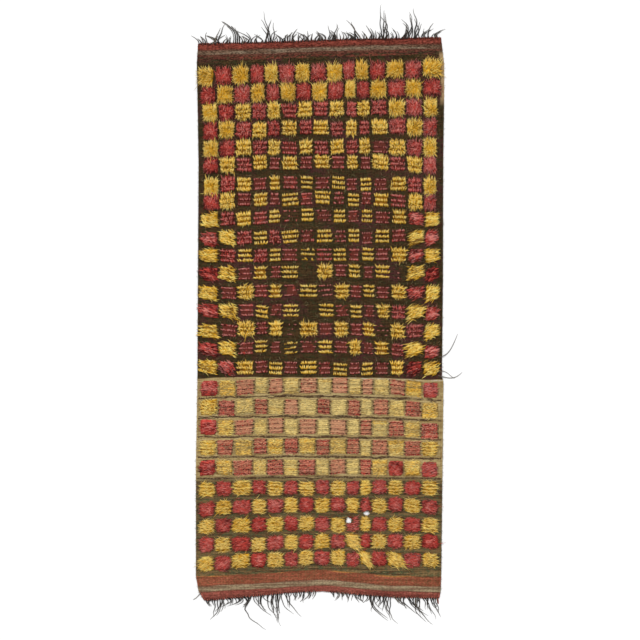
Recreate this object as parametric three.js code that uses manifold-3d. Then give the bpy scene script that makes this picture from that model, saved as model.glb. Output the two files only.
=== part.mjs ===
// A long shaggy runner rug: a flat-woven ground with rows of knotted pile blocks,
// striped flat-woven ends and a fringe of loose warp ends. It lies flat on its underside.
// Millimetres. X runs across the rug, Y along it, Z up. The origin is the middle of the underside.

import * as THREE from "three";
import { mergeVertices } from "three/addons/utils/BufferGeometryUtils.js";
import Module from "manifold-3d";

// Cloth
const GROUND_THICKNESS = 4;
const SELVAGE_WIDTH = 8;
const SEAM_GAP = 0.3;
const BACKING_WIDTH = 6;
const STRIPE_WIDTH = 46;

// Pile blocks
const BLOCK_LENGTH = 60;
const BLOCK_SLOPE = 6;
const CORNER_SHARE = 0.72;
const EDGE_PILE = 10;
const EDGE_COLUMNS = 2;
const BALD_PILE = 0.8;
const LUMP = 0.3;

// Locks of pile that hang over the selvages
const LOCKS_PER_BLOCK = 2;
const LOCK_ROOT = 14;
const LOCK_WIDTH = 13;
const LOCK_HEIGHT = 5;
const LOCK_FLOOR_GAP = 0.8;

// Warp ends
const STRAND_PITCH = 12.2;
const STRAND_WIDTH = 4.2;
const STRAND_HEIGHT = 3.2;
const STRAND_STEP = 26;
const STRAND_TIP_SHARE = 0.45;
const WAVE_HEIGHT = 2.6;
const WAVE_LENGTH = 46;
const WAVE_SHIFT = 70;

// The cloth's two long edges: Y, then X of the left and the right edge.
const SIDES = [
  { y: 1280, left: -544, right: 541 },
  { y: 1150, left: -552, right: 556 },
  { y: 1000, left: -549, right: 556 },
  { y: 700, left: -544, right: 552 },
  { y: 200, left: -547, right: 551 },
  { y: -180, left: -549, right: 547 },
  { y: -255, left: -549, right: 546 },
  { y: -275, left: -549, right: 553 },
  { y: -650, left: -556, right: 549 },
  { y: -1150, left: -556, right: 543 },
  { y: -1215, left: -545, right: 541 },
  { y: -1270, left: -512, right: 530 },
];

// The cloth's two ends: X, then Y of the end.
const FAR_END = [
  { x: -544, y: 1244 },
  { x: -314, y: 1248 },
  { x: 90, y: 1263 },
  { x: 541, y: 1272 },
];
const NEAR_END = [
  { x: -512, y: -1263 },
  { x: -310, y: -1244 },
  { x: -148, y: -1228 },
  { x: 14, y: -1220 },
  { x: 170, y: -1235 },
  { x: 332, y: -1248 },
  { x: 530, y: -1252 },
];

// The rows of blocks: Y of the row's middle line at the left, middle and right of the rug,
// and the height of the pile in the middle of the row.
const ROWS = [
  { left: 1096, middle: 1116, right: 1131, pile: 9 },
  { left: 1008, middle: 1028, right: 1044, pile: 8 },
  { left: 928, middle: 944, right: 952, pile: 6 },
  { left: 847, middle: 859, right: 867, pile: 5 },
  { left: 768, middle: 775, right: 775, pile: 5 },
  { left: 687, middle: 707, right: 691, pile: 5 },
  { left: 599, middle: 615, right: 599, pile: 5 },
  { left: 527, middle: 547, right: 523, pile: 4 },
  { left: 443, middle: 467, right: 451, pile: 4 },
  { left: 360, middle: 376, right: 368, pile: 4 },
  { left: 280, middle: 296, right: 284, pile: 4 },
  { left: 200, middle: 216, right: 207, pile: 4 },
  { left: 115, middle: 132, right: 115, pile: 4 },
  { left: 39, middle: 43, right: 27, pile: 5 },
  { left: -49, middle: -40, right: -57, pile: 5 },
  { left: -133, middle: -121, right: -141, pile: 4 },
  { left: -213, middle: -217, right: -221, pile: 5 },
  { left: -308, middle: -296, right: -316, pile: 4 },
  { left: -396, middle: -388, right: -408, pile: 4 },
  { left: -484, middle: -480, right: -496, pile: 4 },
  { left: -572, middle: -568, right: -581, pile: 6 },
  { left: -665, middle: -660, right: -669, pile: 8 },
  { left: -761, middle: -752, right: -757, pile: 9 },
  { left: -851, middle: -831, right: -839, pile: 10 },
  { left: -927, middle: -915, right: -923, pile: 10 },
  { left: -1015, middle: -995, right: -995, pile: 10 },
  { left: -1096, middle: -1071, right: -1079, pile: 9 },
];

// The widths of the blocks from left to right, measured in five of the rows. Counted from 1.
const COLUMN_ROWS = [1, 9, 14, 20, 27];
const COLUMN_WIDTHS = [
  [68, 76, 88, 81, 70],
  [78, 72, 82, 74, 75],
  [78, 74, 74, 88, 88],
  [68, 72, 64, 60, 72],
  [64, 58, 58, 72, 80],
  [74, 83, 76, 67, 64],
  [68, 65, 86, 79, 68],
  [72, 81, 72, 58, 76],
  [75, 61, 68, 76, 68],
  [54, 65, 58, 58, 64],
  [62, 56, 58, 54, 48],
  [78, 79, 66, 72, 74],
  [82, 76, 68, 72, 72],
  [78, 72, 80, 72, 83],
  [91, 78, 74, 90, 80],
];

// Blocks whose pile is worn away to the knots, as row and column, counted from 1.
const BALD_BLOCKS = [
  [7, 12],
  [9, 6],
  [11, 7],
  [12, 7],
  [12, 13],
  [13, 6],
  [13, 7],
  [14, 7],
  [15, 6],
  [15, 7],
  [15, 12],
  [15, 13],
  [16, 5],
  [16, 6],
  [16, 7],
];

// How far the pile locks reach past the selvage along the rug.
const LOCK_REACH = [
  { y: 1150, left: 20, right: 16 },
  { y: 950, left: 14, right: 10 },
  { y: 400, left: 10, right: 12 },
  { y: -300, left: 10, right: 12 },
  { y: -650, left: 16, right: 12 },
  { y: -1100, left: 20, right: 14 },
];

// Holes worn through the ground.
const HOLES = [
  { x: 129, y: -899, width: 29, length: 28, turn: 0.4 },
  { x: 209, y: -867, width: 32, length: 22, turn: -0.2 },
];
const HOLE_RAGGEDNESS = [1, 0.82, 1.08, 0.9, 0.78, 1.05, 0.88, 1.02, 0.8];

// Threads that have come loose from the right-hand selvage and lie on the floor.
const LOOSE_THREADS = [
  { width: 3.6, height: 3, line: [[530, -168], [566, -157], [590, -128], [608, -96], [620, -56]] },
  { width: 3.4, height: 2.8, line: [[528, -250], [560, -258], [596, -261], [620, -252], [642, -231]] },
];

// The fringes. lean is how far an end drifts to the right over its first 100 mm.
const FAR_FRINGE = {
  shortest: 34,
  spread: 30,
  leans: [
    { x: -544, lean: -34 },
    { x: -460, lean: 14 },
    { x: -392, lean: -34 },
    { x: -240, lean: -3 },
    { x: 53, lean: 34 },
    { x: 177, lean: -40 },
    { x: 286, lean: -19 },
    { x: 377, lean: -16 },
    { x: 541, lean: 4 },
  ],
  longest: [
    { x: -458, length: 94 },
    { x: -392, length: 103 },
    { x: -240, length: 152 },
    { x: -220, length: 117 },
    { x: 53, length: 70 },
    { x: 177, length: 92 },
    { x: 286, length: 158 },
    { x: 377, length: 76 },
    { x: 434, length: 138 },
    { x: 510, length: 62 },
  ],
  bare: { from: 0, to: 0 },
};
const NEAR_FRINGE = {
  shortest: 34,
  spread: 28,
  leans: [
    { x: -512, lean: -26 },
    { x: -400, lean: -30 },
    { x: -300, lean: 16 },
    { x: -212, lean: 20 },
    { x: -155, lean: 44 },
    { x: 60, lean: 10 },
    { x: 234, lean: 40 },
    { x: 303, lean: 34 },
    { x: 425, lean: 30 },
    { x: 530, lean: -8 },
  ],
  longest: [
    { x: -462, length: 94 },
    { x: -446, length: 80 },
    { x: -300, length: 160 },
    { x: -212, length: 146 },
    { x: -155, length: 110 },
    { x: 234, length: 98 },
    { x: 303, length: 120 },
    { x: 425, length: 112 },
    { x: 500, length: 92 },
  ],
  bare: { from: -6, to: 32 },
};

const PILE_RUG = { color: 0x8f5a3c, roughness: 0.95, metalness: 0 };
const WARP_ENDS = { color: 0x38302c, roughness: 0.95, metalness: 0 };

const mix = (a, b, share) => a + (b - a) * share;
const clamp = (value, low, high) => Math.min(high, Math.max(low, value));

// The value of a named column of a table at a place, between the two rows either side of it.
function lookUp(table, placeKey, valueKey, place) {
  const rows = table[0][placeKey] < table.at(-1)[placeKey] ? table : [...table].reverse();
  const next = clamp(rows.findIndex((row) => row[placeKey] >= place), 1, rows.length - 1);
  const after = place > rows.at(-1)[placeKey] ? rows.length - 1 : next;
  const a = rows[after - 1];
  const b = rows[after];
  const share = clamp((place - a[placeKey]) / (b[placeKey] - a[placeKey]), 0, 1);
  return mix(a[valueKey], b[valueKey], share);
}

// An even scatter from 0 to 1 that is the same each time.
function scatter(a, b = 0) {
  const wild = Math.sin(a * 127.1 + b * 311.7) * 43758.5453;
  return wild - Math.floor(wild);
}

// Collects the points and the outward faces of one closed body.
class Body {
  points = [];
  faces = [];

  point(x, y, z) {
    return this.points.push(x, y, z) / 3 - 1;
  }

  triangle(a, b, c) {
    this.faces.push(a, b, c);
  }

  quad(a, b, c, d) {
    this.triangle(a, b, c);
    this.triangle(a, c, d);
  }

  geometry() {
    const geometry = new THREE.BufferGeometry();
    geometry.setAttribute("position", new THREE.Float32BufferAttribute(this.points, 3));
    geometry.setIndex(this.faces);
    return geometry;
  }
}

const wasm = await Module();
wasm.setup();

function toSolid(geometry) {
  const bare = geometry.clone();
  bare.deleteAttribute("normal");
  bare.deleteAttribute("uv");
  const merged = mergeVertices(bare, 1e-3);
  return new wasm.Manifold(
    new wasm.Mesh({
      numProp: 3,
      vertProperties: new Float32Array(merged.attributes.position.array),
      triVerts: new Uint32Array(merged.index.array),
    }),
  );
}

function toGeometry(solid) {
  const mesh = solid.getMesh();
  const geometry = new THREE.BufferGeometry();
  geometry.setAttribute("position", new THREE.Float32BufferAttribute(mesh.vertProperties, 3));
  geometry.setIndex([...mesh.triVerts]);
  return geometry;
}

// Y of a row's middle line, which arches through its three measured places.
function rowY(row, across) {
  const { left, middle, right } = ROWS[row];
  const arch = 4 * middle - 2 * left - 2 * right;
  return mix(left, right, across) + arch * across * (1 - across);
}

// X of the lines between a row's blocks, from the left selvage to the right one.
function columnLines(row) {
  const after = clamp(COLUMN_ROWS.findIndex((measured) => measured >= row + 1), 1, COLUMN_ROWS.length - 1);
  const share = (row + 1 - COLUMN_ROWS[after - 1]) / (COLUMN_ROWS[after] - COLUMN_ROWS[after - 1]);
  const widths = COLUMN_WIDTHS.map((measured) => mix(measured[after - 1], measured[after], share));
  const total = widths.reduce((sum, width) => sum + width, 0);
  const y = rowY(row, 0.5);
  const left = lookUp(SIDES, "y", "left", y) + SELVAGE_WIDTH;
  const right = lookUp(SIDES, "y", "right", y) - SELVAGE_WIDTH;
  const lines = [left];
  for (const width of widths) {
    lines.push(lines.at(-1) + (width / total) * (right - left));
  }
  return lines;
}

// How high the pile of a block stands over the ground.
function pileHeight(row, column) {
  if (BALD_BLOCKS.some(([r, c]) => r === row + 1 && c === column + 1)) {
    return BALD_PILE;
  }
  const fromEdge = Math.min(column, COLUMN_WIDTHS.length - 1 - column);
  const edge = clamp((EDGE_COLUMNS - fromEdge) / EDGE_COLUMNS, 0, 1);
  const height = Math.max(ROWS[row].pile, mix(ROWS[row].pile, EDGE_PILE, edge));
  return height * (1 - LUMP * scatter(row + 1, column + 1));
}

// A line of points across the cloth, one at each selvage and one at each line between blocks.
function crossLine(columns, yAt) {
  const left = columns[0] - SELVAGE_WIDTH;
  const right = columns.at(-1) + SELVAGE_WIDTH;
  return [left, ...columns, right].map((x) => ({ x, y: yAt((x - left) / (right - left)) }));
}

// The cloth's own edge at one end, with a point at each selvage and at each line between blocks.
function clothEnd(end, row) {
  const first = end[0].x;
  const last = end.at(-1).x;
  const inner = columnLines(row).map((x) => clamp(x, first + SELVAGE_WIDTH, last - SELVAGE_WIDTH));
  return [first, ...inner, last].map((x) => ({ x, y: lookUp(end, "x", "y", x) }));
}

const FAR_EDGE = clothEnd(FAR_END, 0);
const NEAR_EDGE = clothEnd(NEAR_END, ROWS.length - 1);

// Every line across the slab, from the far end to the near end. Two lines bound each row of
// blocks, and the second of them carries the row's number.
function clothLines() {
  const inset = BACKING_WIDTH + SEAM_GAP;
  const shifted = (edge, distance) => edge.map(({ x, y }) => ({ x, y: y + distance }));
  const lines = [
    { spots: shifted(FAR_EDGE, -inset) },
    { spots: onSides(shifted(FAR_EDGE, -STRIPE_WIDTH)) },
  ];
  for (let row = 0; row < ROWS.length; row += 1) {
    const columns = columnLines(row);
    const halves = [0.5, -0.5].map((side) =>
      onSides(crossLine(columns, (across) => rowY(row, across) + side * BLOCK_LENGTH)),
    );
    lines.push({ spots: halves[0] }, { spots: halves[1], row });
  }
  lines.push(
    { spots: onSides(shifted(NEAR_EDGE, 2 * STRIPE_WIDTH)) },
    { spots: onSides(shifted(NEAR_EDGE, STRIPE_WIDTH)) },
    { spots: shifted(NEAR_EDGE, inset) },
  );
  return lines;
}

// The same line with its two end points moved onto the cloth's long edges.
function onSides(spots) {
  const moved = spots.map((spot) => ({ ...spot }));
  moved[0].x = lookUp(SIDES, "y", "left", moved[0].y);
  moved.at(-1).x = lookUp(SIDES, "y", "right", moved.at(-1).y);
  return moved;
}

// A crowned pad over the four corners of a block: far left, far right, near right, near left.
function addBlock(body, corners, height, row, column) {
  const middle = { x: 0, y: 0 };
  for (const corner of corners) {
    middle.x += corner.x / corners.length;
    middle.y += corner.y / corners.length;
  }
  const slope = Math.min(BLOCK_SLOPE, height);
  const top = corners.map((corner, k) => {
    const lump = mix(0.8, 1.2, scatter(row * 4 + k, column + 7));
    const pull = (slope * lump) / Math.hypot(corner.x - middle.x, corner.y - middle.y);
    const x = mix(corner.x, middle.x, pull * 1.4);
    const y = mix(corner.y, middle.y, pull * 1.4);
    return body.point(x, y, GROUND_THICKNESS + height * CORNER_SHARE * lump);
  });
  const drift = (scatter(row, column + 40) - 0.5) * BLOCK_SLOPE * 2;
  const crown = body.point(middle.x + drift, middle.y + drift, GROUND_THICKNESS + height);
  for (let k = 0; k < corners.length; k += 1) {
    const next = (k + 1) % corners.length;
    body.quad(corners[next].index, corners[k].index, top[k], top[next]);
    body.triangle(top[next], top[k], crown);
  }
}

// The slab of the rug: a flat underside, plain bands between the rows, and a pad on each block.
function wovenSlab() {
  const body = new Body();
  const lines = clothLines();
  for (const { spots } of lines) {
    for (const spot of spots) {
      spot.index = body.point(spot.x, spot.y, GROUND_THICKNESS);
    }
  }
  const under = lines.map(({ spots }, k) => {
    const isEnd = k === 0 || k === lines.length - 1;
    const footed = isEnd ? spots : [spots[0], spots.at(-1)];
    return footed.map((spot) => body.point(spot.x, spot.y, 0));
  });
  for (let k = 0; k + 1 < lines.length; k += 1) {
    const far = lines[k].spots;
    const near = lines[k + 1].spots;
    const { row } = lines[k + 1];
    for (let i = 0; i + 1 < far.length; i += 1) {
      const corners = [far[i], far[i + 1], near[i + 1], near[i]];
      const isBlock = row !== undefined && i > 0 && i + 2 < far.length;
      if (isBlock) {
        addBlock(body, corners, pileHeight(row, i - 1), row, i - 1);
      } else {
        body.quad(near[i].index, near[i + 1].index, far[i + 1].index, far[i].index);
      }
    }
    body.quad(far[0].index, under[k][0], under[k + 1][0], near[0].index);
    body.quad(near.at(-1).index, under[k + 1].at(-1), under[k].at(-1), far.at(-1).index);
    addUnderside(body, under[k], under[k + 1]);
  }
  addEndWall(body, lines[0].spots, under[0], 1);
  addEndWall(body, lines.at(-1).spots, under.at(-1), -1);
  return body.geometry();
}

// One strip of the underside. Only an end line has points between its two corners.
function addUnderside(body, far, near) {
  for (let i = 0; i + 1 < far.length; i += 1) {
    body.triangle(far[i], far[i + 1], near[0]);
  }
  for (let i = 0; i + 1 < near.length; i += 1) {
    body.triangle(near[i], far.at(-1), near[i + 1]);
  }
}

function addEndWall(body, line, under, facing) {
  for (let i = 0; i + 1 < line.length; i += 1) {
    const [a, b] = facing > 0 ? [i, i + 1] : [i + 1, i];
    body.quad(line[a].index, line[b].index, under[b], under[a]);
  }
}

// A tapering bar of three sides with a flat underside, which runs through the given places.
// base is the height of its underside at each place.
function taperedBar(places, width, height, tipShare, bases) {
  const body = new Body();
  const rings = places.map(([x, y], k) => {
    const before = places[Math.max(k - 1, 0)];
    const after = places[Math.min(k + 1, places.length - 1)];
    const along = Math.hypot(after[0] - before[0], after[1] - before[1]);
    const sideX = -(after[1] - before[1]) / along;
    const sideY = (after[0] - before[0]) / along;
    const share = mix(1, tipShare, k / (places.length - 1));
    const half = (width / 2) * share;
    const base = bases ? bases[k] : 0;
    return [
      body.point(x + sideX * half, y + sideY * half, base),
      body.point(x - sideX * half, y - sideY * half, base),
      body.point(x, y, base + height * share),
    ];
  });
  for (let k = 0; k + 1 < rings.length; k += 1) {
    for (let side = 0; side < 3; side += 1) {
      const next = (side + 1) % 3;
      body.quad(rings[k][next], rings[k][side], rings[k + 1][side], rings[k + 1][next]);
    }
  }
  body.triangle(rings[0][0], rings[0][1], rings[0][2]);
  body.triangle(rings.at(-1)[2], rings.at(-1)[1], rings.at(-1)[0]);
  return body.geometry();
}

// The locks of pile that stick out over one selvage.
function sideLocks(side) {
  const facing = side === "left" ? -1 : 1;
  const locks = [];
  for (let row = 0; row < ROWS.length; row += 1) {
    for (let n = 0; n < LOCKS_PER_BLOCK; n += 1) {
      const chance = scatter(row * LOCKS_PER_BLOCK + n, facing + 3);
      const share = (n + 0.5) / LOCKS_PER_BLOCK - 0.5;
      const y = rowY(row, side === "left" ? 0 : 1) + share * BLOCK_LENGTH;
      const edge = lookUp(SIDES, "y", side, y);
      const reach = lookUp(LOCK_REACH, "y", side, y) * mix(0.6, 1, chance);
      const slant = (chance - 0.4) * LOCK_WIDTH;
      const places = [
        [edge - facing * (LOCK_ROOT + SELVAGE_WIDTH), y - slant],
        [edge, y],
        [edge + facing * reach, y + slant],
      ];
      const bases = [LOCK_FLOOR_GAP + 1.4, LOCK_FLOOR_GAP + 1, LOCK_FLOOR_GAP];
      locks.push(toSolid(taperedBar(places, LOCK_WIDTH, LOCK_HEIGHT, 0.25, bases)));
    }
  }
  return locks;
}

function looseThreads() {
  return LOOSE_THREADS.map(({ line, width, height }) => toSolid(taperedBar(line, width, height, 0.5)));
}

// An upright plug with a ragged outline, which cuts one worn hole.
function holePlug({ x, y, width, length, turn }) {
  const outline = HOLE_RAGGEDNESS.map((reach, k) => {
    const angle = (k / HOLE_RAGGEDNESS.length) * Math.PI * 2;
    return new THREE.Vector2((Math.cos(angle) * reach * width) / 2, (Math.sin(angle) * reach * length) / 2);
  });
  const depth = GROUND_THICKNESS + EDGE_PILE * 3;
  const plug = new THREE.ExtrudeGeometry(new THREE.Shape(outline), { depth, bevelEnabled: false });
  plug.rotateZ(turn);
  plug.translate(x, y, -EDGE_PILE);
  return toSolid(plug);
}

function rugBody() {
  let rug = toSolid(wovenSlab());
  for (const lock of [...sideLocks("left"), ...sideLocks("right"), ...looseThreads()]) {
    rug = rug.add(lock);
  }
  for (const hole of HOLES) {
    rug = rug.subtract(holePlug(hole));
  }
  return toGeometry(rug);
}

// The places where warp ends leave the cloth, with their lengths.
function warpEnds(edge, fringe) {
  const first = edge[0].x;
  const last = edge.at(-1).x;
  const count = Math.floor((last - first) / STRAND_PITCH);
  const pitch = (last - first) / count;
  const ends = [];
  for (let n = 0; n < count; n += 1) {
    const x = first + (n + 0.5) * pitch;
    if (x > fringe.bare.from && x < fringe.bare.to) {
      continue;
    }
    const long = fringe.longest.find((strand) => Math.abs(strand.x - x) <= pitch / 2);
    const length = long ? long.length : fringe.shortest + fringe.spread * scatter(n, first);
    ends.push({ x, length });
  }
  return ends;
}

// Where a warp end has got to at a distance from the cloth.
function warpPlace(fringe, rootX, distance) {
  const lean = lookUp(fringe.leans, "x", "lean", rootX) * (distance / 100) ** 1.2;
  const settled = Math.min(1, distance / WAVE_LENGTH);
  const wave = Math.sin((distance / WAVE_LENGTH) * Math.PI * 2 + rootX / WAVE_SHIFT);
  return rootX + lean + wave * settled * WAVE_HEIGHT;
}

// A strip along one end of the cloth, with its warp ends growing out of it and lying on the floor.
// facing is 1 at the far end and -1 at the near end.
function fringeGeometry(edge, fringe, facing) {
  const body = new Body();
  const edgeY = (x) => lookUp(edge, "x", "y", x);
  const inner = (x) => {
    const y = edgeY(x) - facing * BACKING_WIDTH;
    return [body.point(x, y, 0), body.point(x, y, STRAND_HEIGHT)];
  };
  const outer = (x, z) => body.point(x, edgeY(x), z);
  const turned = (a, b, c) => (facing > 0 ? body.triangle(a, b, c) : body.triangle(a, c, b));
  const panel = (a, b, c, d) => {
    turned(a, b, c);
    turned(a, c, d);
  };

  const firstX = edge[0].x;
  const lastX = edge.at(-1).x;
  let back = inner(firstX);
  let low = outer(firstX, 0);
  let high = outer(firstX, STRAND_HEIGHT);
  panel(back[0], back[1], high, low);
  for (const { x, length } of warpEnds(edge, fringe)) {
    const root = [
      outer(x - STRAND_WIDTH / 2, 0),
      outer(x + STRAND_WIDTH / 2, 0),
      outer(x, STRAND_HEIGHT),
    ];
    const nextBack = inner(x);
    panel(low, high, root[2], root[0]);
    panel(back[1], nextBack[1], root[2], high);
    panel(back[0], nextBack[0], nextBack[1], back[1]);
    panel(low, root[0], nextBack[0], back[0]);
    turned(root[0], root[1], nextBack[0]);
    addStrand(body, root, fringe, x, length, edgeY(x), facing, panel, turned);
    back = nextBack;
    low = root[1];
    high = root[2];
  }
  const lastBack = inner(lastX);
  const lastLow = outer(lastX, 0);
  const lastHigh = outer(lastX, STRAND_HEIGHT);
  panel(low, high, lastHigh, lastLow);
  panel(back[1], lastBack[1], lastHigh, high);
  panel(back[0], lastBack[0], lastBack[1], back[1]);
  panel(low, lastLow, lastBack[0], back[0]);
  panel(lastBack[1], lastBack[0], lastLow, lastHigh);
  return body.geometry();
}

// One warp end, from its root in the strip to its pointed tip.
function addStrand(body, root, fringe, rootX, length, rootY, facing, panel, turned) {
  const steps = Math.max(2, Math.round(length / STRAND_STEP));
  let ring = root;
  for (let k = 1; k < steps; k += 1) {
    const distance = (length * k) / steps;
    const x = warpPlace(fringe, rootX, distance);
    const y = rootY + facing * distance;
    const share = mix(1, STRAND_TIP_SHARE, k / steps);
    const next = [
      body.point(x - (STRAND_WIDTH / 2) * share, y, 0),
      body.point(x + (STRAND_WIDTH / 2) * share, y, 0),
      body.point(x, y, STRAND_HEIGHT * share),
    ];
    panel(ring[0], ring[2], next[2], next[0]);
    panel(ring[2], ring[1], next[1], next[2]);
    panel(ring[1], ring[0], next[0], next[1]);
    ring = next;
  }
  const tip = body.point(warpPlace(fringe, rootX, length), rootY + facing * length, 0);
  turned(ring[0], ring[2], tip);
  turned(ring[2], ring[1], tip);
  turned(ring[1], ring[0], tip);
}

function piece(name, geometry, finish) {
  const flatShaded = geometry.toNonIndexed();
  flatShaded.computeVertexNormals();
  const mesh = new THREE.Mesh(flatShaded, new THREE.MeshStandardMaterial(finish));
  mesh.name = name;
  return mesh;
}

const rug = new THREE.Group();
rug.add(piece("rug_body", rugBody(), PILE_RUG));
rug.add(piece("fringe_top", fringeGeometry(FAR_EDGE, FAR_FRINGE, 1), WARP_ENDS));
rug.add(piece("fringe_bottom", fringeGeometry(NEAR_EDGE, NEAR_FRINGE, -1), WARP_ENDS));

export default rug;
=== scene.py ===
"""A shaggy runner rug: a flat-woven ground, rows of knotted pile blocks, striped flat-woven
ends and loose warp ends. X runs across the rug, Y along it and Z up, in metres.
The tables are in millimetres, and MM turns them into metres. Rows count from the far end and
columns from the left: from 0 in the code, and from 1 in the tables of single blocks.
"""

import math

import bpy
import numpy as np
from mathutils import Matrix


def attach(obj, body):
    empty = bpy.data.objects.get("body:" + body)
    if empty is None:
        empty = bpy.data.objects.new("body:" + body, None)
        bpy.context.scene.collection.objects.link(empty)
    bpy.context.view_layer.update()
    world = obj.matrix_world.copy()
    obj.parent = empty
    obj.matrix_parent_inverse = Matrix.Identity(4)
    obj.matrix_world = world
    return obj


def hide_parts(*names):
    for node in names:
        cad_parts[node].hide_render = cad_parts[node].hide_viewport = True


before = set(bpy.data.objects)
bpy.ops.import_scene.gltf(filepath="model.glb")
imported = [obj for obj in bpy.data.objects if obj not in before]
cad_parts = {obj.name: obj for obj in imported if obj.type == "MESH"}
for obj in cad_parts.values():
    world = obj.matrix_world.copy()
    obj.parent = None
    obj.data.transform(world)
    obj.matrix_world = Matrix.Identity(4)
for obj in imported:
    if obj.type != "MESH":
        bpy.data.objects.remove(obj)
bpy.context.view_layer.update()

MM = 0.001
rng = np.random.default_rng(41)

# The picture shows this many metres of floor each way, centred on the rug's origin.
PICTURE_WIDTH = 2.874
CAMERA_HEIGHT = 9.0

# Sizes in millimetres
GROUND_THICKNESS = 4.0
GROUND_HOLLOW = 0.8
SELVAGE_WIDTH = 8.0
BLOCK_LENGTH = 60.0

ROW_COUNT = 27
COLUMN_COUNT = 15
# The first FAR_ROWS rows are full shag, and so are those from NEAR_ROW on. The rows between
# are worn. The ground is khaki from KHAKI_ROW on.
FAR_ROWS = 2
KHAKI_ROW = 17
NEAR_ROW = 22

# The cloth's long edges: Y, X of the left edge and X of the right edge
SIDES = np.array([
    (-1270, -512, 530),
    (-1215, -545, 541),
    (-1150, -556, 543),
    (-650, -556, 549),
    (-275, -549, 553),
    (-255, -549, 546),
    (-180, -549, 547),
    (200, -547, 551),
    (700, -544, 552),
    (1000, -549, 556),
    (1150, -552, 556),
    (1280, -544, 541),
])

# The cloth's ends: X and Y
FAR_END = np.array([(-544, 1241), (-314, 1245), (90, 1260), (541, 1269)])
NEAR_END = np.array([
    (-512, -1260),
    (-310, -1241),
    (-148, -1225),
    (14, -1217),
    (170, -1232),
    (332, -1245),
    (530, -1249),
])

# Y of the middle line of each row of blocks, at the left, middle and right of the rug
ROWS = np.array([
    (1096, 1116, 1131),
    (1008, 1028, 1044),
    (928, 944, 952),
    (847, 859, 867),
    (768, 775, 775),
    (687, 707, 691),
    (599, 615, 599),
    (527, 547, 523),
    (443, 467, 451),
    (360, 376, 368),
    (280, 296, 284),
    (200, 216, 207),
    (115, 132, 115),
    (39, 43, 27),
    (-49, -40, -57),
    (-133, -121, -141),
    (-213, -217, -221),
    (-308, -296, -316),
    (-396, -388, -408),
    (-484, -480, -496),
    (-572, -568, -581),
    (-665, -660, -669),
    (-761, -752, -757),
    (-851, -831, -839),
    (-927, -915, -923),
    (-1015, -995, -995),
    (-1096, -1071, -1079),
])

# The widths of the blocks from left to right, measured in five of the rows
COLUMN_ROWS = (1, 9, 14, 20, 27)
COLUMN_WIDTHS = np.array([
    (68, 76, 88, 81, 70),
    (78, 72, 82, 74, 75),
    (78, 74, 74, 88, 88),
    (68, 72, 64, 60, 72),
    (64, 58, 58, 72, 80),
    (74, 83, 76, 67, 64),
    (68, 65, 86, 79, 68),
    (72, 81, 72, 58, 76),
    (75, 61, 68, 76, 68),
    (54, 65, 58, 58, 64),
    (62, 56, 58, 54, 48),
    (78, 79, 66, 72, 74),
    (82, 76, 68, 72, 72),
    (78, 72, 80, 72, 83),
    (91, 78, 74, 90, 80),
])

# How worn the pile is in the middle of each row, and how worn it is from column to column.
# 0 is full shag, 0.6 shows the knot lines, 1 is worn down to stubs, and over 1 knots are gone.
ROW_WEAR = (
    0.0, 0.1, 0.4, 0.45, 0.52, 0.68, 0.8, 0.82, 0.9, 0.85, 0.8, 0.85, 0.85, 0.85,
    0.7, 0.85, 0.85, 0.9, 0.95, 0.95, 0.85, 0.75, 0.35, 0.2, 0.15, 0.1, 0.05,
)
COLUMN_WEAR = (0.15, 0.45, 0.75, 0.85, 0.95, 1, 1, 1, 1, 1, 1, 0.95, 0.8, 0.5, 0.2)
# The red wool wears faster than the yellow, once it has begun to wear.
RED_WEAR = 0.12
RED_WEARS_FROM = 0.37

# How worn single blocks are that differ from that, by row and column
BLOCK_WEAR = {
    3: {5: 0.25, 6: 0.62, 8: 0.6, 13: 0.25},
    4: {5: 0.35, 8: 0.6},
    5: {6: 0.75, 12: 1.05},
    6: {12: 0.4},
    7: {9: 0.9, 12: 1.2},
    8: {7: 1.1},
    9: {2: 0.6, 6: 1.4, 8: 1.2, 10: 1.2, 14: 0.35},
    10: {3: 0.62, 4: 0.9, 5: 0.66, 6: 0.95},
    11: {2: 0.55, 3: 0.85, 4: 0.6, 5: 0.85, 6: 1, 7: 1.3, 14: 0.3},
    12: {2: 0.4, 3: 1, 4: 0.75, 5: 1.1, 6: 0.95, 7: 1.7, 8: 0.5, 11: 1.15, 13: 1.6, 15: 0.45},
    13: {2: 0.95, 3: 0.35, 4: 0.95, 5: 0.7, 6: 1.25, 7: 0.85, 8: 1.15, 9: 0.5, 13: 0.55, 14: 0.4},
    14: {2: 0.3, 3: 0.9, 4: 0.8, 5: 1.2, 6: 0.95, 7: 1.7, 9: 1.25, 11: 1.2, 12: 0.6, 13: 0.6},
    15: {
        2: 0.95, 3: 0.4, 5: 0.5, 6: 1.5, 7: 0.5, 8: 1, 9: 0.5, 10: 0.8, 12: 1.5, 13: 0.5,
        14: 0.62,
    },
    16: {
        2: 0.4, 3: 1, 4: 0.95, 5: 1.25, 6: 1.32, 7: 1.25, 8: 0.85, 9: 1.1, 10: 0.6, 11: 1.2,
        12: 0.75, 13: 0.7,
    },
    17: {2: 0.28, 9: 1, 11: 0.95, 14: 0.45},
    19: {2: 0.45, 4: 0.6, 8: 0.65, 10: 0.6, 12: 0.75, 14: 0.5, 15: 0.3},
    20: {11: 0.8, 13: 0.6, 15: 0.3},
    21: {
        1: 0.2, 2: 0.45, 3: 0.5, 4: 0.5, 5: 0.45, 6: 0.5, 7: 0.45, 8: 0.5, 9: 0.55, 10: 0.6,
        12: 0.65, 13: 0.5, 14: 0.45, 15: 0.25,
    },
    22: {
        1: 0.2, 2: 0.35, 3: 0.5, 4: 0.55, 5: 0.6, 6: 0.85, 7: 0.55, 8: 0.9, 9: 0.8, 10: 0.85,
        11: 0.5, 12: 0.45, 13: 0.25, 14: 0.4, 15: 0.2,
    },
}

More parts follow.
